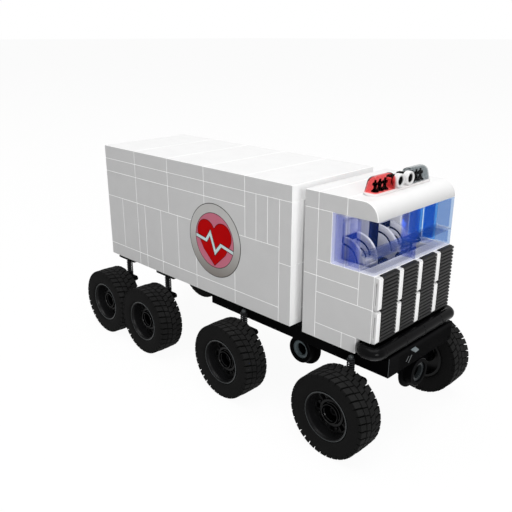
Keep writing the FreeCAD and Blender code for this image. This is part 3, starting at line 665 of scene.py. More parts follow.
def wheels():
    for kind, pattern, slot in (("tyre", tyre(), "tyre_rubber"), ("rim", rim(), "black_plastic")):
        for number, _ in AXLES:
            for side, sign in SIDES:
                low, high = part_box(f"tyre_{number}_{side}")
                wheel = copy_of(pattern, (low + high) / 2 / MM, to_side(sign))
                fit(f"wheel_{number}_{side}_{kind}", wheel, slot, f"{kind}_{number}_{side}",
                    body=f"wheel_{number}_{side}")
        remove(pattern)


wheels()


# -------- cab
CAB_SIDE = [               # laid out as BOX_SIDE is
    (-5, -4, 4, 8), (-5, -4, 0, 4), (-4, -3, 5, 8), (-4, -1, 4, 5), (-1, 0, 3, 5), (-4, -1, 3, 4),
    (-4, 0, 1, 3), (-4, -2, 0, 1), (-2, -1, 0, 1),
]
THIRDS = (-24, -8, 8)      # Y where three bricks across the cab begin


def cab_body():
    for side, sign in SIDES:
        # painted highlight: the walls' forward faces at the windows and the sill tops glow like the edges
        wall = painted_glow_faces(side_bricks(CAB_SIDE, CAB_FRONT, sign), FORWARD, CAB_FRONT - 3 * STUD)
        fit(f"cab_wall_{side}", painted_glow_faces(wall, UP, SILL), "white_plastic", f"cab_side_{side}")

    inside = CAB_BACK + STUD
    back = [brick((CAB_BACK, -INNER, course(low)), (inside, INNER, course(high)))
            for low, high in ((0, 4), (4, 8))]
    back += [brick((inside - 0.4, y, DECK + 0.2), (inside + 0.3, y + 15.6, HEAD - 0.2))
             for y in (-23.6, -7.8, 8.0)]
    fit("cab_rear_wall", back, "white_plastic", "cab_back_wall")

    front = [brick((CAB_FRONT - STUD, y, course(1)), (CAB_FRONT, y + 16, SILL)) for y in THIRDS]
    # painted highlight: the tops at the sill glow like the edges
    fit("cab_nose_wall", painted_glow_faces(front, UP, SILL), "white_plastic", "cab_front_wall")

    floor = [brick((x, -INNER, BASE), (x + STUD, INNER, course(1))) for x in (71.6, 79.6, 87.6)]
    fit("cab_base", [hollow(part) for part in floor], "white_plastic", "cab_floor")
    deck = [brick((inside, y, course(3)), (CAB_FRONT - STUD, y + 16, DECK)) for y in THIRDS]
    deck += studs([(92, y) for y in (-20, 0, 20)], DECK, height=1.5)
    fit("cab_inner_deck", deck, "white_plastic", "cab_deck")


def cab_top():
    """Roof bricks, the front one with its edge rounded over."""
    seams = (CAB_BACK, CAB_BACK + STUD, 87.6)
    parts = [brick((back, -HALF, HEAD), (front, HALF, TOP)) for back, front in pairwise(seams)]
    nose = paint(block((seams[-1], -HALF, HEAD), (CAB_FRONT, HALF, TOP), 0), WHITE, WHITE_EDGE_GLOW)
    front, top = CAB_FRONT * MM - TINY, TOP * MM - TINY
    bevel(nose, 7.6, 14, lambda a, b: min(a.x, b.x) > front and min(a.z, b.z) > top)
    parts.append(smooth(round_edges(nose, 0.2, slot=EDGE), 20))
    fit("cab_top", parts, "white_plastic", "cab_roof")


cab_body()
cab_top()


# -------- windows
PANE = 1.0                 # thickness of the clear plastic


def tray(low, high, open_side):
    """Clear panel with a rim all round: a block opened from one side. open_side is an outward normal."""
    gap = Vector((0.04, 0.04, 0.04))
    low, high, way = Vector(low), Vector(high), Vector(open_side)
    piece = block(low + gap, high - gap, 0)
    return soften(sink(piece, way, PANE, abs((high - low).dot(way)) - PANE), 0.12, segments=1)


def windows():
    near = (PANE + 0.2) * MM       # a face nearer to a plane than this is on the pane there
    front, end, ledge = CAB_FRONT * MM, HALF * MM, (SILL + STUD) * MM
    panes = [tray((CAB_FRONT - STUD, y, low), (CAB_FRONT, y + HALF, high), (-1, 0, 0))
             for y in (-HALF, 0) for low, high in ((SILL, SILL + STUD), (SILL + STUD, HEAD))]
    paint(panes, BLUE_GLASS, CLEAR_PANE, WEB_GLASS, END_GLASS, LEDGE_GLASS)
    for pane in panes:
        for face in pane.data.polygons:
            if abs(face.normal.x) > 0.9 and face.center.x > front - near:
                face.material_index = 1
            elif abs(face.center.y) < near:
                face.material_index = 2
            elif face.center.y > end - near:
                face.material_index = 3
            elif abs(face.center.z - ledge) < near:
                face.material_index = 4
    fit("front_window", panes, "blue_glass", "windscreen")
    for side, sign in SIDES:
        panes = [tray(*on_side(sign, (x, INNER, SILL), (x + STUD, HALF, HEAD)), (0, -sign, 0))
                 for x in (79.6, 87.6)]
        # painted shade: the left windows' outer faces take the deeper blue
        paint(panes, BLUE_GLASS, SIDE_GLASS if sign < 0 else DEEP_GLASS)
        for pane in panes:
            for face in pane.data.polygons:
                outer = abs(face.normal.y) > 0.9 and abs(face.center.y) > end - near
                face.material_index = 1 if outer else 0
        fit(f"{side}_window", panes, "blue_glass", f"side_window_{side}")


windows()


# -------- inside the cab
def seat(y):
    """Bucket seat: slab back, round-edged headrest, and a quarter-round arm with a groove at each side."""
    back, face, arm_z = 72.1, 77.0, 85.6
    low, high = y - 6, y + 6
    pale = [
        block((back, low, DECK), (face - 1.2, high, 103.8), 0.5),
        block((back + 0.2, low, 97.0), (face, high, 104.2), 1.5, 4),
        block((face - 1.6, low + 1.8, 87.0), (face + 0.2, high - 1.8, 94.2), 0.5, 3),
        block((back, low, DECK), (face + 12, high, arm_z + 0.2), 0.4),
        block((face - 2, low + 1.8, 84.0), (face + 11.6, high - 1.8, 88.2), 0.9, 3),
    ]
    # painted shade: a black band across the back under the headrest, where the well behind the cushion is
    # shaded
    dark = [block((back + 0.5, low + 0.2, 94.2), (face - 0.4, high - 0.2, 97.2), 0.3)]
    corner = (face, arm_z)
    ring = arc(corner, 12, 0, 90, 18) + arc(corner, 8.9, 90, 0, 18)
    panel = [corner] + arc(corner, 7.8, 0, 90, 18)
    # painted shade: a black liner set down in each arm's groove
    groove = arc(corner, 9.0, 0, 90, 18) + arc(corner, 7.7, 90, 0, 18)
    for middle in (low + 0.8, high - 0.8):
        pale.append(plate([ring], 1.6, "side", -middle, soft=0.3))
        pale.append(plate([panel], 1.4, "side", -middle, soft=0.2))
        dark.append(plate([groove], 0.8, "side", -middle))
    stalk = ((86.0, 87.8), (85.8, 89.4), (85.0, 90.8), (83.9, 91.6), (82.8, 92.0))
    dark.append(tube_along([(x, y, z) for x, z in stalk], 0.4, 12))
    return paint(pale, SEAT) + paint(dark, BLACK)


def lever(y):
    """Small black lever on a round foot, leaning forwards."""
    x, height = 88.4, 5.2
    foot = turned([(0, 0), (1.3, 0), (1.3, 0.5), (0.8, 0.9), (0, 0.9)], (x, y, DECK), steps=16)
    stem = turned([(0, 0), (0.55, 0), (0.45, height - 1), (0.8, height - 0.6), (0.9, height),
                   (0.5, height + 0.7), (0, height + 0.9)], steps=12)
    stem.rotation_euler = (0, radians(25), 0)
    stem.location = Vector((x, y, DECK + 0.4)) * MM
    return [foot, settle(stem)]


def cab_fittings():
    seats = seat(-14) + seat(14)
    seats.append(paint(block((72.1, -4, DECK), (79.9, 4, 104.2), 0.3), SEAT))
    dark = [part for y in (-21.6, -5.4, 5.4, 21.4) for part in lever(y)]
    dark += [
        block((80.5, -5.0, DECK), (84.5, 7.0, DECK + 2), 0.4),
        block((84.0, -3.0, DECK), (88.0, 3.0, 83.5), 0.6, 3),
        block((79.8, -3.9, DECK + 0.1), (80.2, 3.9, 104.1), 0.12),
    ]
    fit("driver_and_mate_seats", seats + paint(dark, BLACK), "white_plastic", "cab_seats")

    board = [block((90.2, -23.8, DECK), (95.4, 23.8, 84.0), 0.5),
             block((89.6, 5.0, 83.8), (95.2, 19.0, 86.2), 0.7),
             block((91.0, -18.0, 83.8), (95.2, -6.0, 85.6), 0.7)]
    dial = turned([(0, 0), (1.3, 0), (1.3, -0.5), (1.0, -0.6), (1.0, -0.3), (0, -0.3)], axis="X", steps=16)
    board += spread(dial, [(89.7, y, 85.0) for y in (8, 12, 16)])
    fit("instrument_board", paint(board, BLACK), "black_plastic", "dashboard")

    x, y, z = 92.6, 14, 92.2
    clear()
    bpy.ops.mesh.primitive_torus_add(major_segments=32, minor_segments=10, major_radius=4.0 * MM,
                                     minor_radius=0.5 * MM, location=(x * MM, y * MM, z * MM))
    wheel = [smooth(settle(bpy.context.object), 60),
             turned([(0, 0), (0.7, 0), (0.6, 5.6), (1.3, 5.9), (1.3, 6.4), (0, 6.6)], (x, y, z - 6.2),
                    steps=16)]
    spoke = block((0.6, -0.35, -0.25), (4.0, 0.35, 0.25), 0.15, 1)
    wheel += [copy_of(spoke, (x, y, z), spun(turn)) for turn in (0, 120, 240)]
    remove(spoke)
    fit("helm", paint(wheel, BLACK), "black_plastic", "steering_wheel")


cab_fittings()


# -------- front of the cab
COLUMNS = [-HALF + 16 * i for i in range(4)]       # Y where each rib column's bay begins


def nose():
    ribs, proud, foot = 18, 106.2, course(1)
    pitch = (SILL - foot) / ribs
    rib = block((CAB_FRONT, 0, 0), (proud, 12.7, pitch * 0.78), 0.45, 3)
    core = block((CAB_FRONT, 0.5, 0), (proud - 1, 12.2, SILL - foot), 0.2, 1)
    parts = []
    for y in COLUMNS:
        parts.append(copy_of(core, (0, y + 3.25, foot)))
        parts += [copy_of(rib, (0, y + 3.25, foot + i * pitch)) for i in range(ribs)]
    remove(rib, core)
    fit("nose_ribs", paint(parts, GRILLE), "black_plastic", "grille_columns")

    rails = []
    back = CAB_FRONT
    for tier in (course(1), course(3)):
        foot, head = tier + 0.2, tier + 15.7
        outline = ([(back, foot)] + arc((proud - 1.1, foot + 1.1), 1.1, 270, 360, 5)
                   + arc((proud - 1.1, head - 1.1), 1.1, 0, 90, 5) + [(back, head)])
        slot = [(back + 0.9, foot + 2.6), (back + 1.4, foot + 2.6), (back + 1.4, head - 2.6),
                (back + 0.9, head - 2.6)]
        rail = paint(plate([outline, slot], 3.1, "side", 0, soft=0.2), WHITE, WHITE_EDGE_GLOW)
        # painted highlight: the rails' front faces glow like the edges
        painted_glow_faces([rail], FORWARD, proud)
        rails += spread(rail, [(0, y + 1.6, 0) for y in COLUMNS])
    fit("nose_rails", rails, "white_plastic", "grille_fins")

    wide = 14.5
    beam = [black_brick((CAB_FRONT - STUD, i * wide, BASE), (CAB_FRONT, (i + 1) * wide, course(1)))
            for i in (-2, -1, 0, 1)]
    fit("bumper_mount", beam, "black_plastic", "bumper_beam")


def bumper():
    """One bent bar: across the front, round both corners, and back to the beam."""
    front, root, side, height = 107.6, 99.6, 33.0, 52.2
    bend, elbow = 3.4, 2.4
    line = [(root, side - 4, height)]
    line += [(x, y, height) for x, y in arc((root + elbow, side - elbow), elbow, 180, 90, 5)]
    line += [(x, y, height) for x, y in arc((front - bend, side - bend), bend, 90, 0, 8)]
    line += [(x, -y, z) for x, y, z in reversed(line)]
    parts = [tube_along(line, 3.0, 32)]
    for y in (-28, -12, 4, 20):
        parts.append(turned([(3.02, 0), (3.12, 0.1), (3.12, 0.5), (3.02, 0.6)], (front, y, height), "Y", 40))
    fit("bumper_tube", paint(parts, BAR_BLACK), "black_plastic", "bumper_bar")


nose()
bumper()


# -------- roof light bar
BAR_X = 91.6


def beacon_cover(sign):
    """Clear cover with its outer end sloped in, hollow and open underneath."""
    wide, end, lean = 3.2, 22.4, 2.8
    cover = block(*on_side(sign, (BAR_X - wide, 7.5, TOP + 1), (BAR_X + wide, end, TOP + 8)), 0)
    top, end_y = (TOP + 8) * MM, sign * end * MM

    def at_top(a, b):
        return min(a.z, b.z) > top - TINY

    def at_end(a, b):
        """The sloped end's upper edges, its corners' rounding among them."""
        outer = min(sign * a.y, sign * b.y) > (end - lean - 0.1) * MM
        return outer and abs(abs(a.y) - abs(b.y)) < 4 * MM and max(a.z, b.z) > top - 3 * MM

    choose(cover, "EDGE", lambda a, b: at_top(a, b) and abs(a.y - end_y) + abs(b.y - end_y) < TINY)
    slide((0, -sign * lean * MM, 0))
    leave()
    bevel(cover, lean, 6, lambda a, b: at_top(a, b) and abs(a.y - b.y) > 0.1 * MM)
    bevel(cover, 0.9, 3, at_end)
    choose(cover, "FACE", lambda face: face.normal.z < -0.99)
    bpy.ops.mesh.delete(type="FACE")
    close_up(cover)
    skin = cover.modifiers.new("skin", "SOLIDIFY")
    skin.thickness = 0.6 * MM
    skin.offset = -1
    return smooth(apply_all(cover), 30)


def light_bar():
    outline = arc((BAR_X, 20), 4, 0, 180, 16) + arc((BAR_X, -20), 4, 180, 360, 16)
    base = paint(plate([outline], 1.0, "flat", TOP + 0.5, soft=0.25), BAR_BASE)
    fit("light_bar_plate", base, "white_plastic", "light_bar_base")
    for label, sign, plastic in (("red", -1, RED_GLASS), ("clear", 1, SMOKE_GLASS)):
        fit(f"{label}_light_cover", paint(beacon_cover(sign), plastic), f"{label}_glass", f"beacon_{label}")

    foot = TOP + 1
    pin = turned([(0, 0), (1.7, 0), (1.7, 0.35), (1.2, 0.7), (0.7, 1.5), (0.7, 2.8), (1.2, 3.1), (1.25, 3.6),
                  (0.9, 4.0), (0.45, 4.2), (0.45, 5.2), (0, 5.3)], steps=20)
    arm = turned([(0, -1.6), (0.5, -1.6), (0.5, 1.6), (0, 1.6)], (0, 0, 3.4), "Y", 12)
    pins = spread(paint(join("pin", [pin, arm]), BLACK),
                  [(BAR_X, sign * y, foot) for sign in (-1, 1) for y in (11.1, 14.7, 18.3)])
    fit("light_bar_pins", pins, "black_plastic", "beacon_pins")

    case = turned([(0, 0), (2.2, 0), (2.5, 0.3), (2.5, 1.0), (3.1, 1.3), (3.2, 1.7), (3.2, 3.7), (2.95, 4.0),
                   (2.3, 4.0), (2.1, 3.8), (2.1, 1.0), (0, 1.0)], axis="X", steps=36)
    band = turned([(2.55, 0.35), (2.75, 0.4), (2.75, 0.95), (2.55, 1.0)], axis="X", steps=36)
    lens = turned([(0, 1.02), (2.08, 1.02), (2.08, 3.2), (1.8, 3.5), (1.0, 3.7), (0, 3.75)],
                  axis="X", steps=32)
    places = [(BAR_X, -4, 124.4), (BAR_X, 4, 124.4)]
    cases, lenses = spread(case, places), spread(lens, places) + spread(band, places)
    for _, y, _ in places:
        cases.append(block((90.6, y - 1.6, foot), (94.6, y + 1.6, foot + 1.2), 0.3))
        cases.append(block((88.8, y - 2.0, foot), (91.4, y + 2.0, foot + 4.2), 0.5))
        lenses.append(block((88.2, y - 1.4, foot + 1), (91.5, y + 1.4, foot + 5.4), 0.5))
    fit("roof_lamp_cases", paint(cases, WHITE), "white_plastic", "roof_lamps")
    fit("roof_lamp_fronts", paint(lenses, BLACK), "black_plastic", "lamp_lenses")


light_bar()


# -------- chassis
FRAME_LOW, FRAME_HALF, FRAME_NOSE = 40.2, 28, 111.6
COUPLING_Z = 32.2


def chassis():
    seams = (-8.4, 4.6, 35.6, 50.6, 95.6, FRAME_NOSE)
    parts = [black_brick(*on_side(sign, (back, 20, FRAME_LOW), (front, FRAME_HALF, BASE)))
             for back, front in pairwise(seams) for sign in (-1, 1)]
    parts += [hollow(black_brick((back, -20, FRAME_LOW), (back + STUD, 20, BASE)), 1.2, 5)
              for back in (-8.4, 28.9, 66.3, 103.6)]
    bars = [block((110.8, -FRAME_HALF, FRAME_LOW), (FRAME_NOSE, FRAME_HALF, 50.2), 0.2),
            block((-0.4, -19.9, 46.6), (103.6, 19.9, 47.4), 0.15)]
    bars += [washer(2.3, 3.0, 0.25, (x, y, 44.4), axis, 24)
             for x in (-4, 12, 24, 44, 60, 84, 100) for y, axis in ((-FRAME_HALF, "-Y"), (FRAME_HALF, "Y"))]
    fit("ladder_frame", parts + paint(bars, BLACK), "black_plastic", "chassis_frame")

    plates, low, half = [], 44.4, 8.6
    for _, axle in AXLES[2:]:
        x = axle - 2
        plates.append(black_brick((x - half, -28.3, low), (x + half, 28.3, BASE)))
        rings = [washer(2.2, 3.0, 0.3, (x + dx, y, low - 0.25)) for y in range(-20, 21, 8) for dx in (-4, 4)]
        plates += paint(rings, DARK_GREY_AND_EDGE_SHEEN)
    fit("rear_crossplates", plates, "black_plastic", "rear_axle_plates")


def socket_housing(axis, middle, plane, across, mouth_place):
    """Round socket mouth, a thin round-bottomed flange behind it, and the closed tube of its bore."""
    drum, flange, bore = 4.6, 1.6, 3.3
    u, v = across
    mouth = turned([(5.0, 0.3), (5.2, 0), (6.85, 0), (7.2, 0.35), (7.2, drum), (bore, drum), (bore, 3.0),
                    (5.0, 3.0)], middle, axis, 56)
    # painted highlight: a thin lighter ring round the mouth's outer edge
    line = turned([(6.8, -0.02), (7.1, 0.2), (7.14, 0.34), (6.7, 0.3)], middle, axis, 56)
    tube = turned([(0, 8.9), (4.4, 8.9), (4.4, 4.5), (bore, 4.5), (bore, 8.2), (0, 8.2)], middle, axis, 32)
    outline = [(u + 9.4, v + 8), (u - 9.4, v + 8)] + arc((u, v), 9.4, 180, 360, 36)
    back = mouth_place - drum - flange
    body = plate([outline, circle((u, v), bore + 0.1, 40)], flange, plane, back + flange / 2, soft=0.4)
    shoulder = plate([[(u - 7, v + 2.2), (u + 7, v + 2.2), (u + 7, v + 8), (u - 7, v + 8)]], 6.9, plane,
                     back - 3.4, soft=0.3)
    return paint([mouth, tube, body, shoulder], BLACK) + [paint(line, DARK_GREY_AND_EDGE_SHEEN)]


def socket_ring(material, place, turn):
    """Ring with a finely notched hole, made facing down at the origin."""
    notch = ((0.0, 3.4), (0.11, 3.4), (0.13, 3.65), (0.24, 3.65))      # turn and radius
    hole = [(radius * cos(2 * pi * i / 24 + step), radius * sin(2 * pi * i / 24 + step))
            for i in range(24) for step, radius in notch]
    pattern = paint(plate([circle((0, 0), 4.95, 56), hole], 2.1, "flat", 1.95, soft=0.1), material)
    ring = copy_of(pattern, place, turn)
    remove(pattern)
    return ring


def couplings():
    side_x, side_y = 55.6, -24
    parts = socket_housing("Y", (side_x, side_y, COUPLING_Z), "side", (side_x, COUPLING_Z), -side_y)
    fit("side_socket_housing", parts, "black_plastic", "side_coupling")

    parts = socket_housing("-X", (FRAME_NOSE, 0, COUPLING_Z), "front", (0, COUPLING_Z), FRAME_NOSE)
    skin = FRAME_NOSE + 0.05
    # painted highlights: two thin pale dashes on the housing's front face
    for (y, z), (head_y, head_z) in (((-13.9, 43.4), (-11.9, 45.6)), ((-11.9, 42.0), (-9.3, 45.2))):
        slot = [(y, z), (y + 0.45, z - 0.1), (head_y + 0.45, head_z - 0.1), (head_y, head_z)]
        parts.append(paint(plate([slot], 0.3, "front", skin), PALE_GLINT))
    # painted highlight: a pale patch laid on the front face
    glint_patch = plate([[(-10.5, 48.3), (-5.9, 45.2), (-2.8, 45.6), (-6.5, 48.5)]], 0.3, "front", skin, soft=0.08)
    # painted highlight: a thin grey strip down the frame's front corner edge
    worn = block((111.35, -28.1, 40.8), (111.65, -27.85, 50.0), 0.08)
    fit("front_socket_housing", parts + [paint(glint_patch, GREY), paint(worn, GREY_DARK)], "black_plastic",
        "front_coupling")

    # painted shade: the front ring takes a darker copy of the side ring's grey
    rings = [socket_ring(GREY, (side_x, side_y, COUPLING_Z), spun(-90, "X")),
             socket_ring(RING_PAINTED_SHADE, (FRAME_NOSE, 0, COUPLING_Z), spun(-90, "Y"))]
    fit("socket_rings", rings, "grey_plastic", "coupling_rings")


def spring(y, foot):
    """Round wire wound up from a foot, its ends closed."""
    clear()
    bpy.ops.mesh.primitive_circle_add(vertices=8, radius=0.36 * MM, location=(1.65 * MM, 0, 0),
                                      rotation=(pi / 2, 0, 0))
    coil = settle(bpy.context.object)
    screw = coil.modifiers.new("coil", "SCREW")
    screw.axis = "Z"
    screw.steps = screw.render_steps = 20
    screw.iterations = 7
    screw.screw_offset = 8.4 / 7 * MM
    apply_all(coil)
    coil.location = (0, y * MM, foot * MM)
    settle(coil)
    edit()
    select_everything()
    bpy.ops.mesh.edge_face_add()
    return smooth(close_up(coil), 60)


def suspension():
    """Stub axle, carrier, strut and coil for each wheel; the pattern is on the right side at X 0."""
    strut_y, ledge_z, arm_z = -30.3, 34.7, 33.1
    carrier = [
        plate([arc((-5.5, arm_z), 1.55, 90, 270, 8) + arc((5.5, arm_z), 1.55, -90, 90, 8)], 7.0, "side", 29.5,
              soft=0.35),
        block((-4, -33, 16.7), (4, -26, 31.9), 0.6),
        block((-2.6, -33.5, 22.6), (2.6, -32.8, 30.6), 0.3),
        turned([(2.45, 0), (3.6, 0), (3.9, 0.3), (3.9, 9.1), (2.45, 9.1)], (0, -26.05, AXLE_Z), "-Y", 32),
    ] + [washer(1.0, 1.7, 0.3, (x, -33.02, arm_z), "-Y") for x in (-5.5, 5.5)]
    axle = turned([(0, 0), (2.1, 0), (2.4, 0.3), (2.4, 15.4), (2.1, 15.7), (1.4, 15.7), (1.2, 14.9),
                   (0, 14.9)], (0, -26, AXLE_Z), "-Y", 32)
    rod = [
        turned([(0, 0), (1.9, 0), (1.9, 0.9), (1.6, 1.2), (0.8, 1.2), (0.8, 8.8), (1.2, 8.9), (1.4, 9.1),
                (1.4, 9.5), (1.2, 9.7), (0, 9.7)], (0, strut_y, ledge_z), steps=28),
        block((-1.2, -29.6, 43.4), (1.2, -28.0, 45.4), 0.3),
    ]
    cap = turned([(0, 0), (1.25, 0), (1.25, 0.8), (1.0, 1.3), (0.6, 1.6), (0, 1.7)], (0, strut_y, 44.4),
                 steps=24)
    coil = spring(strut_y, ledge_z + 1.3)

    inset = 3.0            # the rear struts stand further in, under their plates
    for name, parts, slot, material, *nodes in (
            ("hub_uprights", carrier, "black_plastic", BLACK, "hub_carriers"),
            ("wheel_pins", axle, "grey_plastic", DARK_GREY_AND_EDGE_SHEEN, "stub_axles"),
            ("strut_eyes_and_rods", rod, "black_plastic", BLACK, "strut_rods"),
            ("strut_caps", cap, "grey_plastic", GREY_DARK),
            ("strut_coils", coil, "grey_plastic", COIL_DARK_SHEEN, "strut_springs")):
        pattern = paint(join("pattern", parts), material)
        copies = []
        for number, x in AXLES:
            under_plate = number > 2 and name.startswith("strut")
            if under_plate and name == "strut_caps":
                continue
            for _, sign in SIDES:
                copies.append(copy_of(pattern, (x, -sign * inset if under_plate else 0, 0), to_side(sign)))
        remove(pattern)
        fit(name, copies, slot, *nodes)


chassis()
couplings()
suspension()


# -------- rear doors
HINGE_X, HINGE_Y = -106.3, 24
DOOR_FRONT, DOOR_FOOT, DOOR_HEAD = -98.0, 56.6, 111.8


def hinge_part(sign, z, y_low, y_high, x_low=-105.7, x_high=-104.3, soft=0.3):
    return block(*on_side(sign, (x_low, y_low, z + 0.1), (x_high, y_high, z + 3.9)), soft)


def rear_doors():
    for side, sign in SIDES:
        panel = block(*on_side(sign, (BOX_BACK, 0.45, DOOR_FOOT), (DOOR_FRONT, 23.6, DOOR_HEAD)), 0)
        paint(panel, WHITE, WHITE_EDGE_GLOW)
        # the inner free edge is cut back, so that the doors clear each other
        choose(panel, "EDGE", lambda a, b: (
            max(abs(a.y), abs(b.y)) < MM and min(a.x, b.x) > (DOOR_FRONT - 0.1) * MM))
        slide((0, sign * 1.6 * MM, 0))
        leave()
        choose(panel, "FACE", lambda face: True)
        bpy.ops.mesh.bisect(plane_co=(0, 0, (DOOR_FOOT + DOOR_HEAD) / 2 * MM), plane_no=(0, 0, 1))
        leave()
        sink(panel, -FORWARD, 2.6, 0.7)
        sink(panel, FORWARD, 2.2, 0.7)
        white, grey = [], []
        for z in (68.2, 96.2):
            white += [hinge_part(sign, z, 18.2, 23.4),
                      hinge_part(sign, z, 23.0, 24.0, -106.2, -104.7, 0.2),
                      turned([(0.87, 0.05), (1.45, 0.05), (1.6, 0.2), (1.6, 3.8), (1.45, 3.95), (0.87, 3.95)],
                             (HINGE_X, sign * HINGE_Y, z), steps=24)]
            grey += [turned([(0, 0), (0.55, 0), (0.45, 0.3), (0, 0.35)], (-105.7, sign * y, z + 2), "-X", 12)
                     for y in (19.4, 21.8)]
        parts = [round_edges(panel, 0.2, slot=EDGE)] + paint(white, WHITE) + paint(grey, GREY)
        fit(f"rear_door_{side}_leaf", parts, "white_plastic", f"rear_door_{side}", body=f"door_{side}")

        grip = [block(*on_side(sign, (-107.6, 2.05, 78.2), (-106.2, 3.55, 90.2)), 0.5, 3)]
        grip += [block(*on_side(sign, (-106.6, 2.15, z), (-104.3, 3.45, z + 1.8)), 0.3)
                 for z in (78.4, 88.2)]
        fit(f"rear_door_{side}_handle", paint(grip, BLACK), "black_plastic", f"rear_handle_{side}",
            body=f"door_{side}")

    white, pins = [], []
    for _, sign in SIDES:
        for z in (72.4, 100.4):
            middle = (HINGE_X, sign * HINGE_Y, z)
            white += [hinge_part(sign, z, 24.6, 30.0),
                      turned([(0.2, 0), (1.45, 0), (1.6, 0.15), (1.6, 3.85), (1.45, 4.0), (0.2, 4.0)], middle,
                             steps=24)]
            pins.append(turned([(0, -4.3), (0.6, -4.3), (0.78, -4.1), (0.78, 3.9), (0, 3.9)], middle,
                               steps=20))
    fit("door_hinge_leaves", paint(white, WHITE) + paint(pins, GREY), "white_plastic", "door_hinges")


rear_doors()


# -------- emblem
def heart(grow=0.0):
    """Outline of a heart from arcs and straight lines, about the emblem's middle."""
    lobe, hip = 6.95 + grow, 8.6 + grow * 0.8
    return (arc((-6.6, 3.6), lobe, 215, 30, 20) + arc((6.6, 3.6), lobe, 150, -35, 20)
            + [(hip, -6.6), (0, -14.1 - 1.4 * grow), (-hip, -6.6)])


def pulse(grow=0.0):
    """Heartbeat line as a band of even width."""
    line = [Vector(point) for point in
            ((-15.0, 0.4), (-6.6, -1.0), (-3.2, 3.8), (0.8, -6.6), (5.4, -1.5), (15.0, -3.6))]
    runs = [(after - before).normalized() for before, after in pairwise(line)]
    half = 0.85 + grow
    upper, lower = [], []
    for point, one, two in zip(line, runs[:1] + runs, runs + runs[-1:]):
        along = (one + two).normalized()
        across = Vector((-along.y, along.x))
        reach = across * (half / max(0.45, abs(across.dot(Vector((-one.y, one.x))))))
        upper.append(tuple(point + reach))
        lower.append(tuple(point - reach))
    return upper + lower[::-1]


def emblem():
    """Printed round emblem on both sides: ring, disc, heart and heartbeat line, as thin printed layers."""
    u, v = -0.4, 80.5
    middle = (0, 0)
    layers = (
        ([circle(middle, 20.8, 96)], 0.10, PRINT_DARK),
        ([circle(middle, 20.45, 96), circle(middle, 15.65, 96)], 0.14, PRINT_RING),
        ([circle(middle, 15.3, 96)], 0.14, PRINT_PINK),
        ([heart(0.35)], 0.17, PRINT_DARK_RED),
        ([heart()], 0.20, PRINT_RED),
        ([pulse(0.35)], 0.23, PRINT_DARK),
        ([pulse()], 0.26, PRINT_LINE),
    )
    for side, sign in SIDES:
        parts = []
        for outlines, height, material in layers:
            placed = [[(u - sign * a, v + b) for a, b in outline] for outline in outlines]
            layer = plate(placed, height + 0.1, "side", -sign * (HALF + (height - 0.1) / 2))
            parts.append(paint(layer, material))
        fit(f"side_emblem_{side}", parts, "white_plastic")


emblem()


# -------- studio
PALE = (1, 1, 1, 1)


def blend_shaders(tree, factor, first, second):
    return add_node(tree, "MixShader", {0: factor, 1: first.outputs[0], 2: second.outputs[0]})


def seen_directly(tree):
    """1 where the camera, a reflection or a clear part looks at the backdrop, otherwise 0."""
    path = tree.nodes.new("ShaderNodeLightPath")
    seen = path.outputs["Is Camera Ray"]
    for kind in ("Is Glossy Ray", "Is Transmission Ray"):
        either = add_node(tree, "Math", {0: seen, 1: path.outputs[kind]})
        either.operation = "MAXIMUM"
        seen = either.outputs[0]
    return seen


def aimed(name, data, place, way):
    """Puts a lamp or a camera at a place, in metres, looking one way."""
    item = bpy.data.objects.new(name, data)
    item.location = place
    item.rotation_mode = "QUATERNION"
    item.rotation_quaternion = way.to_track_quat("-Z", "Y")
    bpy.context.scene.collection.objects.link(item)
    return item


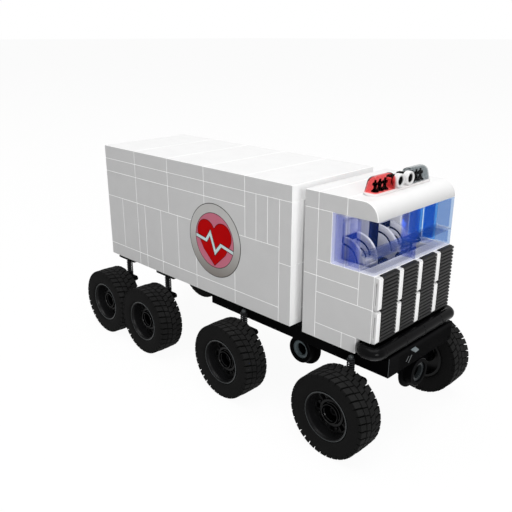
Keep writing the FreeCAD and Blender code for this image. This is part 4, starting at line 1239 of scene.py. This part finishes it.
def studio():
    world = bpy.data.worlds.new("plain white studio")
    bpy.context.scene.world = world
    world.use_nodes = True
    tree = world.node_tree
    sky = feed(tree, tree.nodes["Background"], {"Color": PALE, "Strength": 0.28})
    backdrop = add_node(tree, "Background", {"Color": PALE, "Strength": 1.0})
    mix = blend_shaders(tree, seen_directly(tree), sky, backdrop)
    feed(tree, tree.nodes["World Output"], {"Surface": mix.outputs[0]})

    clear()
    bpy.ops.mesh.primitive_plane_add(size=60, location=(0, 0, -0.0002))
    floor = bpy.context.object
    floor.name = "studio_floor"
    material = bpy.data.materials.new("pale floor")
    material.use_nodes = True
    tree = material.node_tree
    dull = {"Base Color": (0.22, 0.22, 0.22, 1), "Roughness": 0.9}
    shader = feed(tree, tree.nodes["Principled BSDF"], dull)
    pale = add_node(tree, "BsdfDiffuse", {"Color": PALE})
    glow = add_node(tree, "Emission", {"Strength": 1.0})
    mix = blend_shaders(tree, seen_directly(tree), shader, blend_shaders(tree, 0.95, pale, glow))
    feed(tree, tree.nodes["Material Output"], {"Surface": mix.outputs[0]})
    floor.data.materials.append(material)

    for name, place, aim, size, power in (
            ("overhead softbox", (0.1, -0.1, 1.6), (0, 0, 0.05), 1.4, 22),
            ("front softbox", (1.5, -0.85, 0.55), (0.03, 0, 0.08), 0.6, 13),
            ("cab lamp", (0.0905, 0, 0.1105), (0.074, 0, 0.093), 0.02, 0.006)):
        lamp = bpy.data.lights.new(name, "AREA")
        lamp.shape = "SQUARE"
        lamp.size = size
        lamp.energy = power
        aimed(name, lamp, place, Vector(aim) - Vector(place))


studio()


# -------- camera
def camera():
    azimuth, elevation = radians(45.16), radians(19.51)
    back = Vector((sin(azimuth) * cos(elevation),
                   -cos(azimuth) * cos(elevation), sin(elevation)))
    corner = Vector((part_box("box_roof")[1].x, 0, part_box("box_floor")[0].z))
    view = bpy.data.cameras.new("view")
    view.sensor_width = 36
    view.lens = 43.83
    view.clip_start = 0.02
    view.clip_end = 100
    place = corner + Vector((188.35, -243.14, 137.59)) * MM
    bpy.context.scene.camera = aimed("view", view, place, -back)
    bpy.context.scene.view_settings.view_transform = "Standard"


camera()

remove(BRICK, BLACK_BRICK)
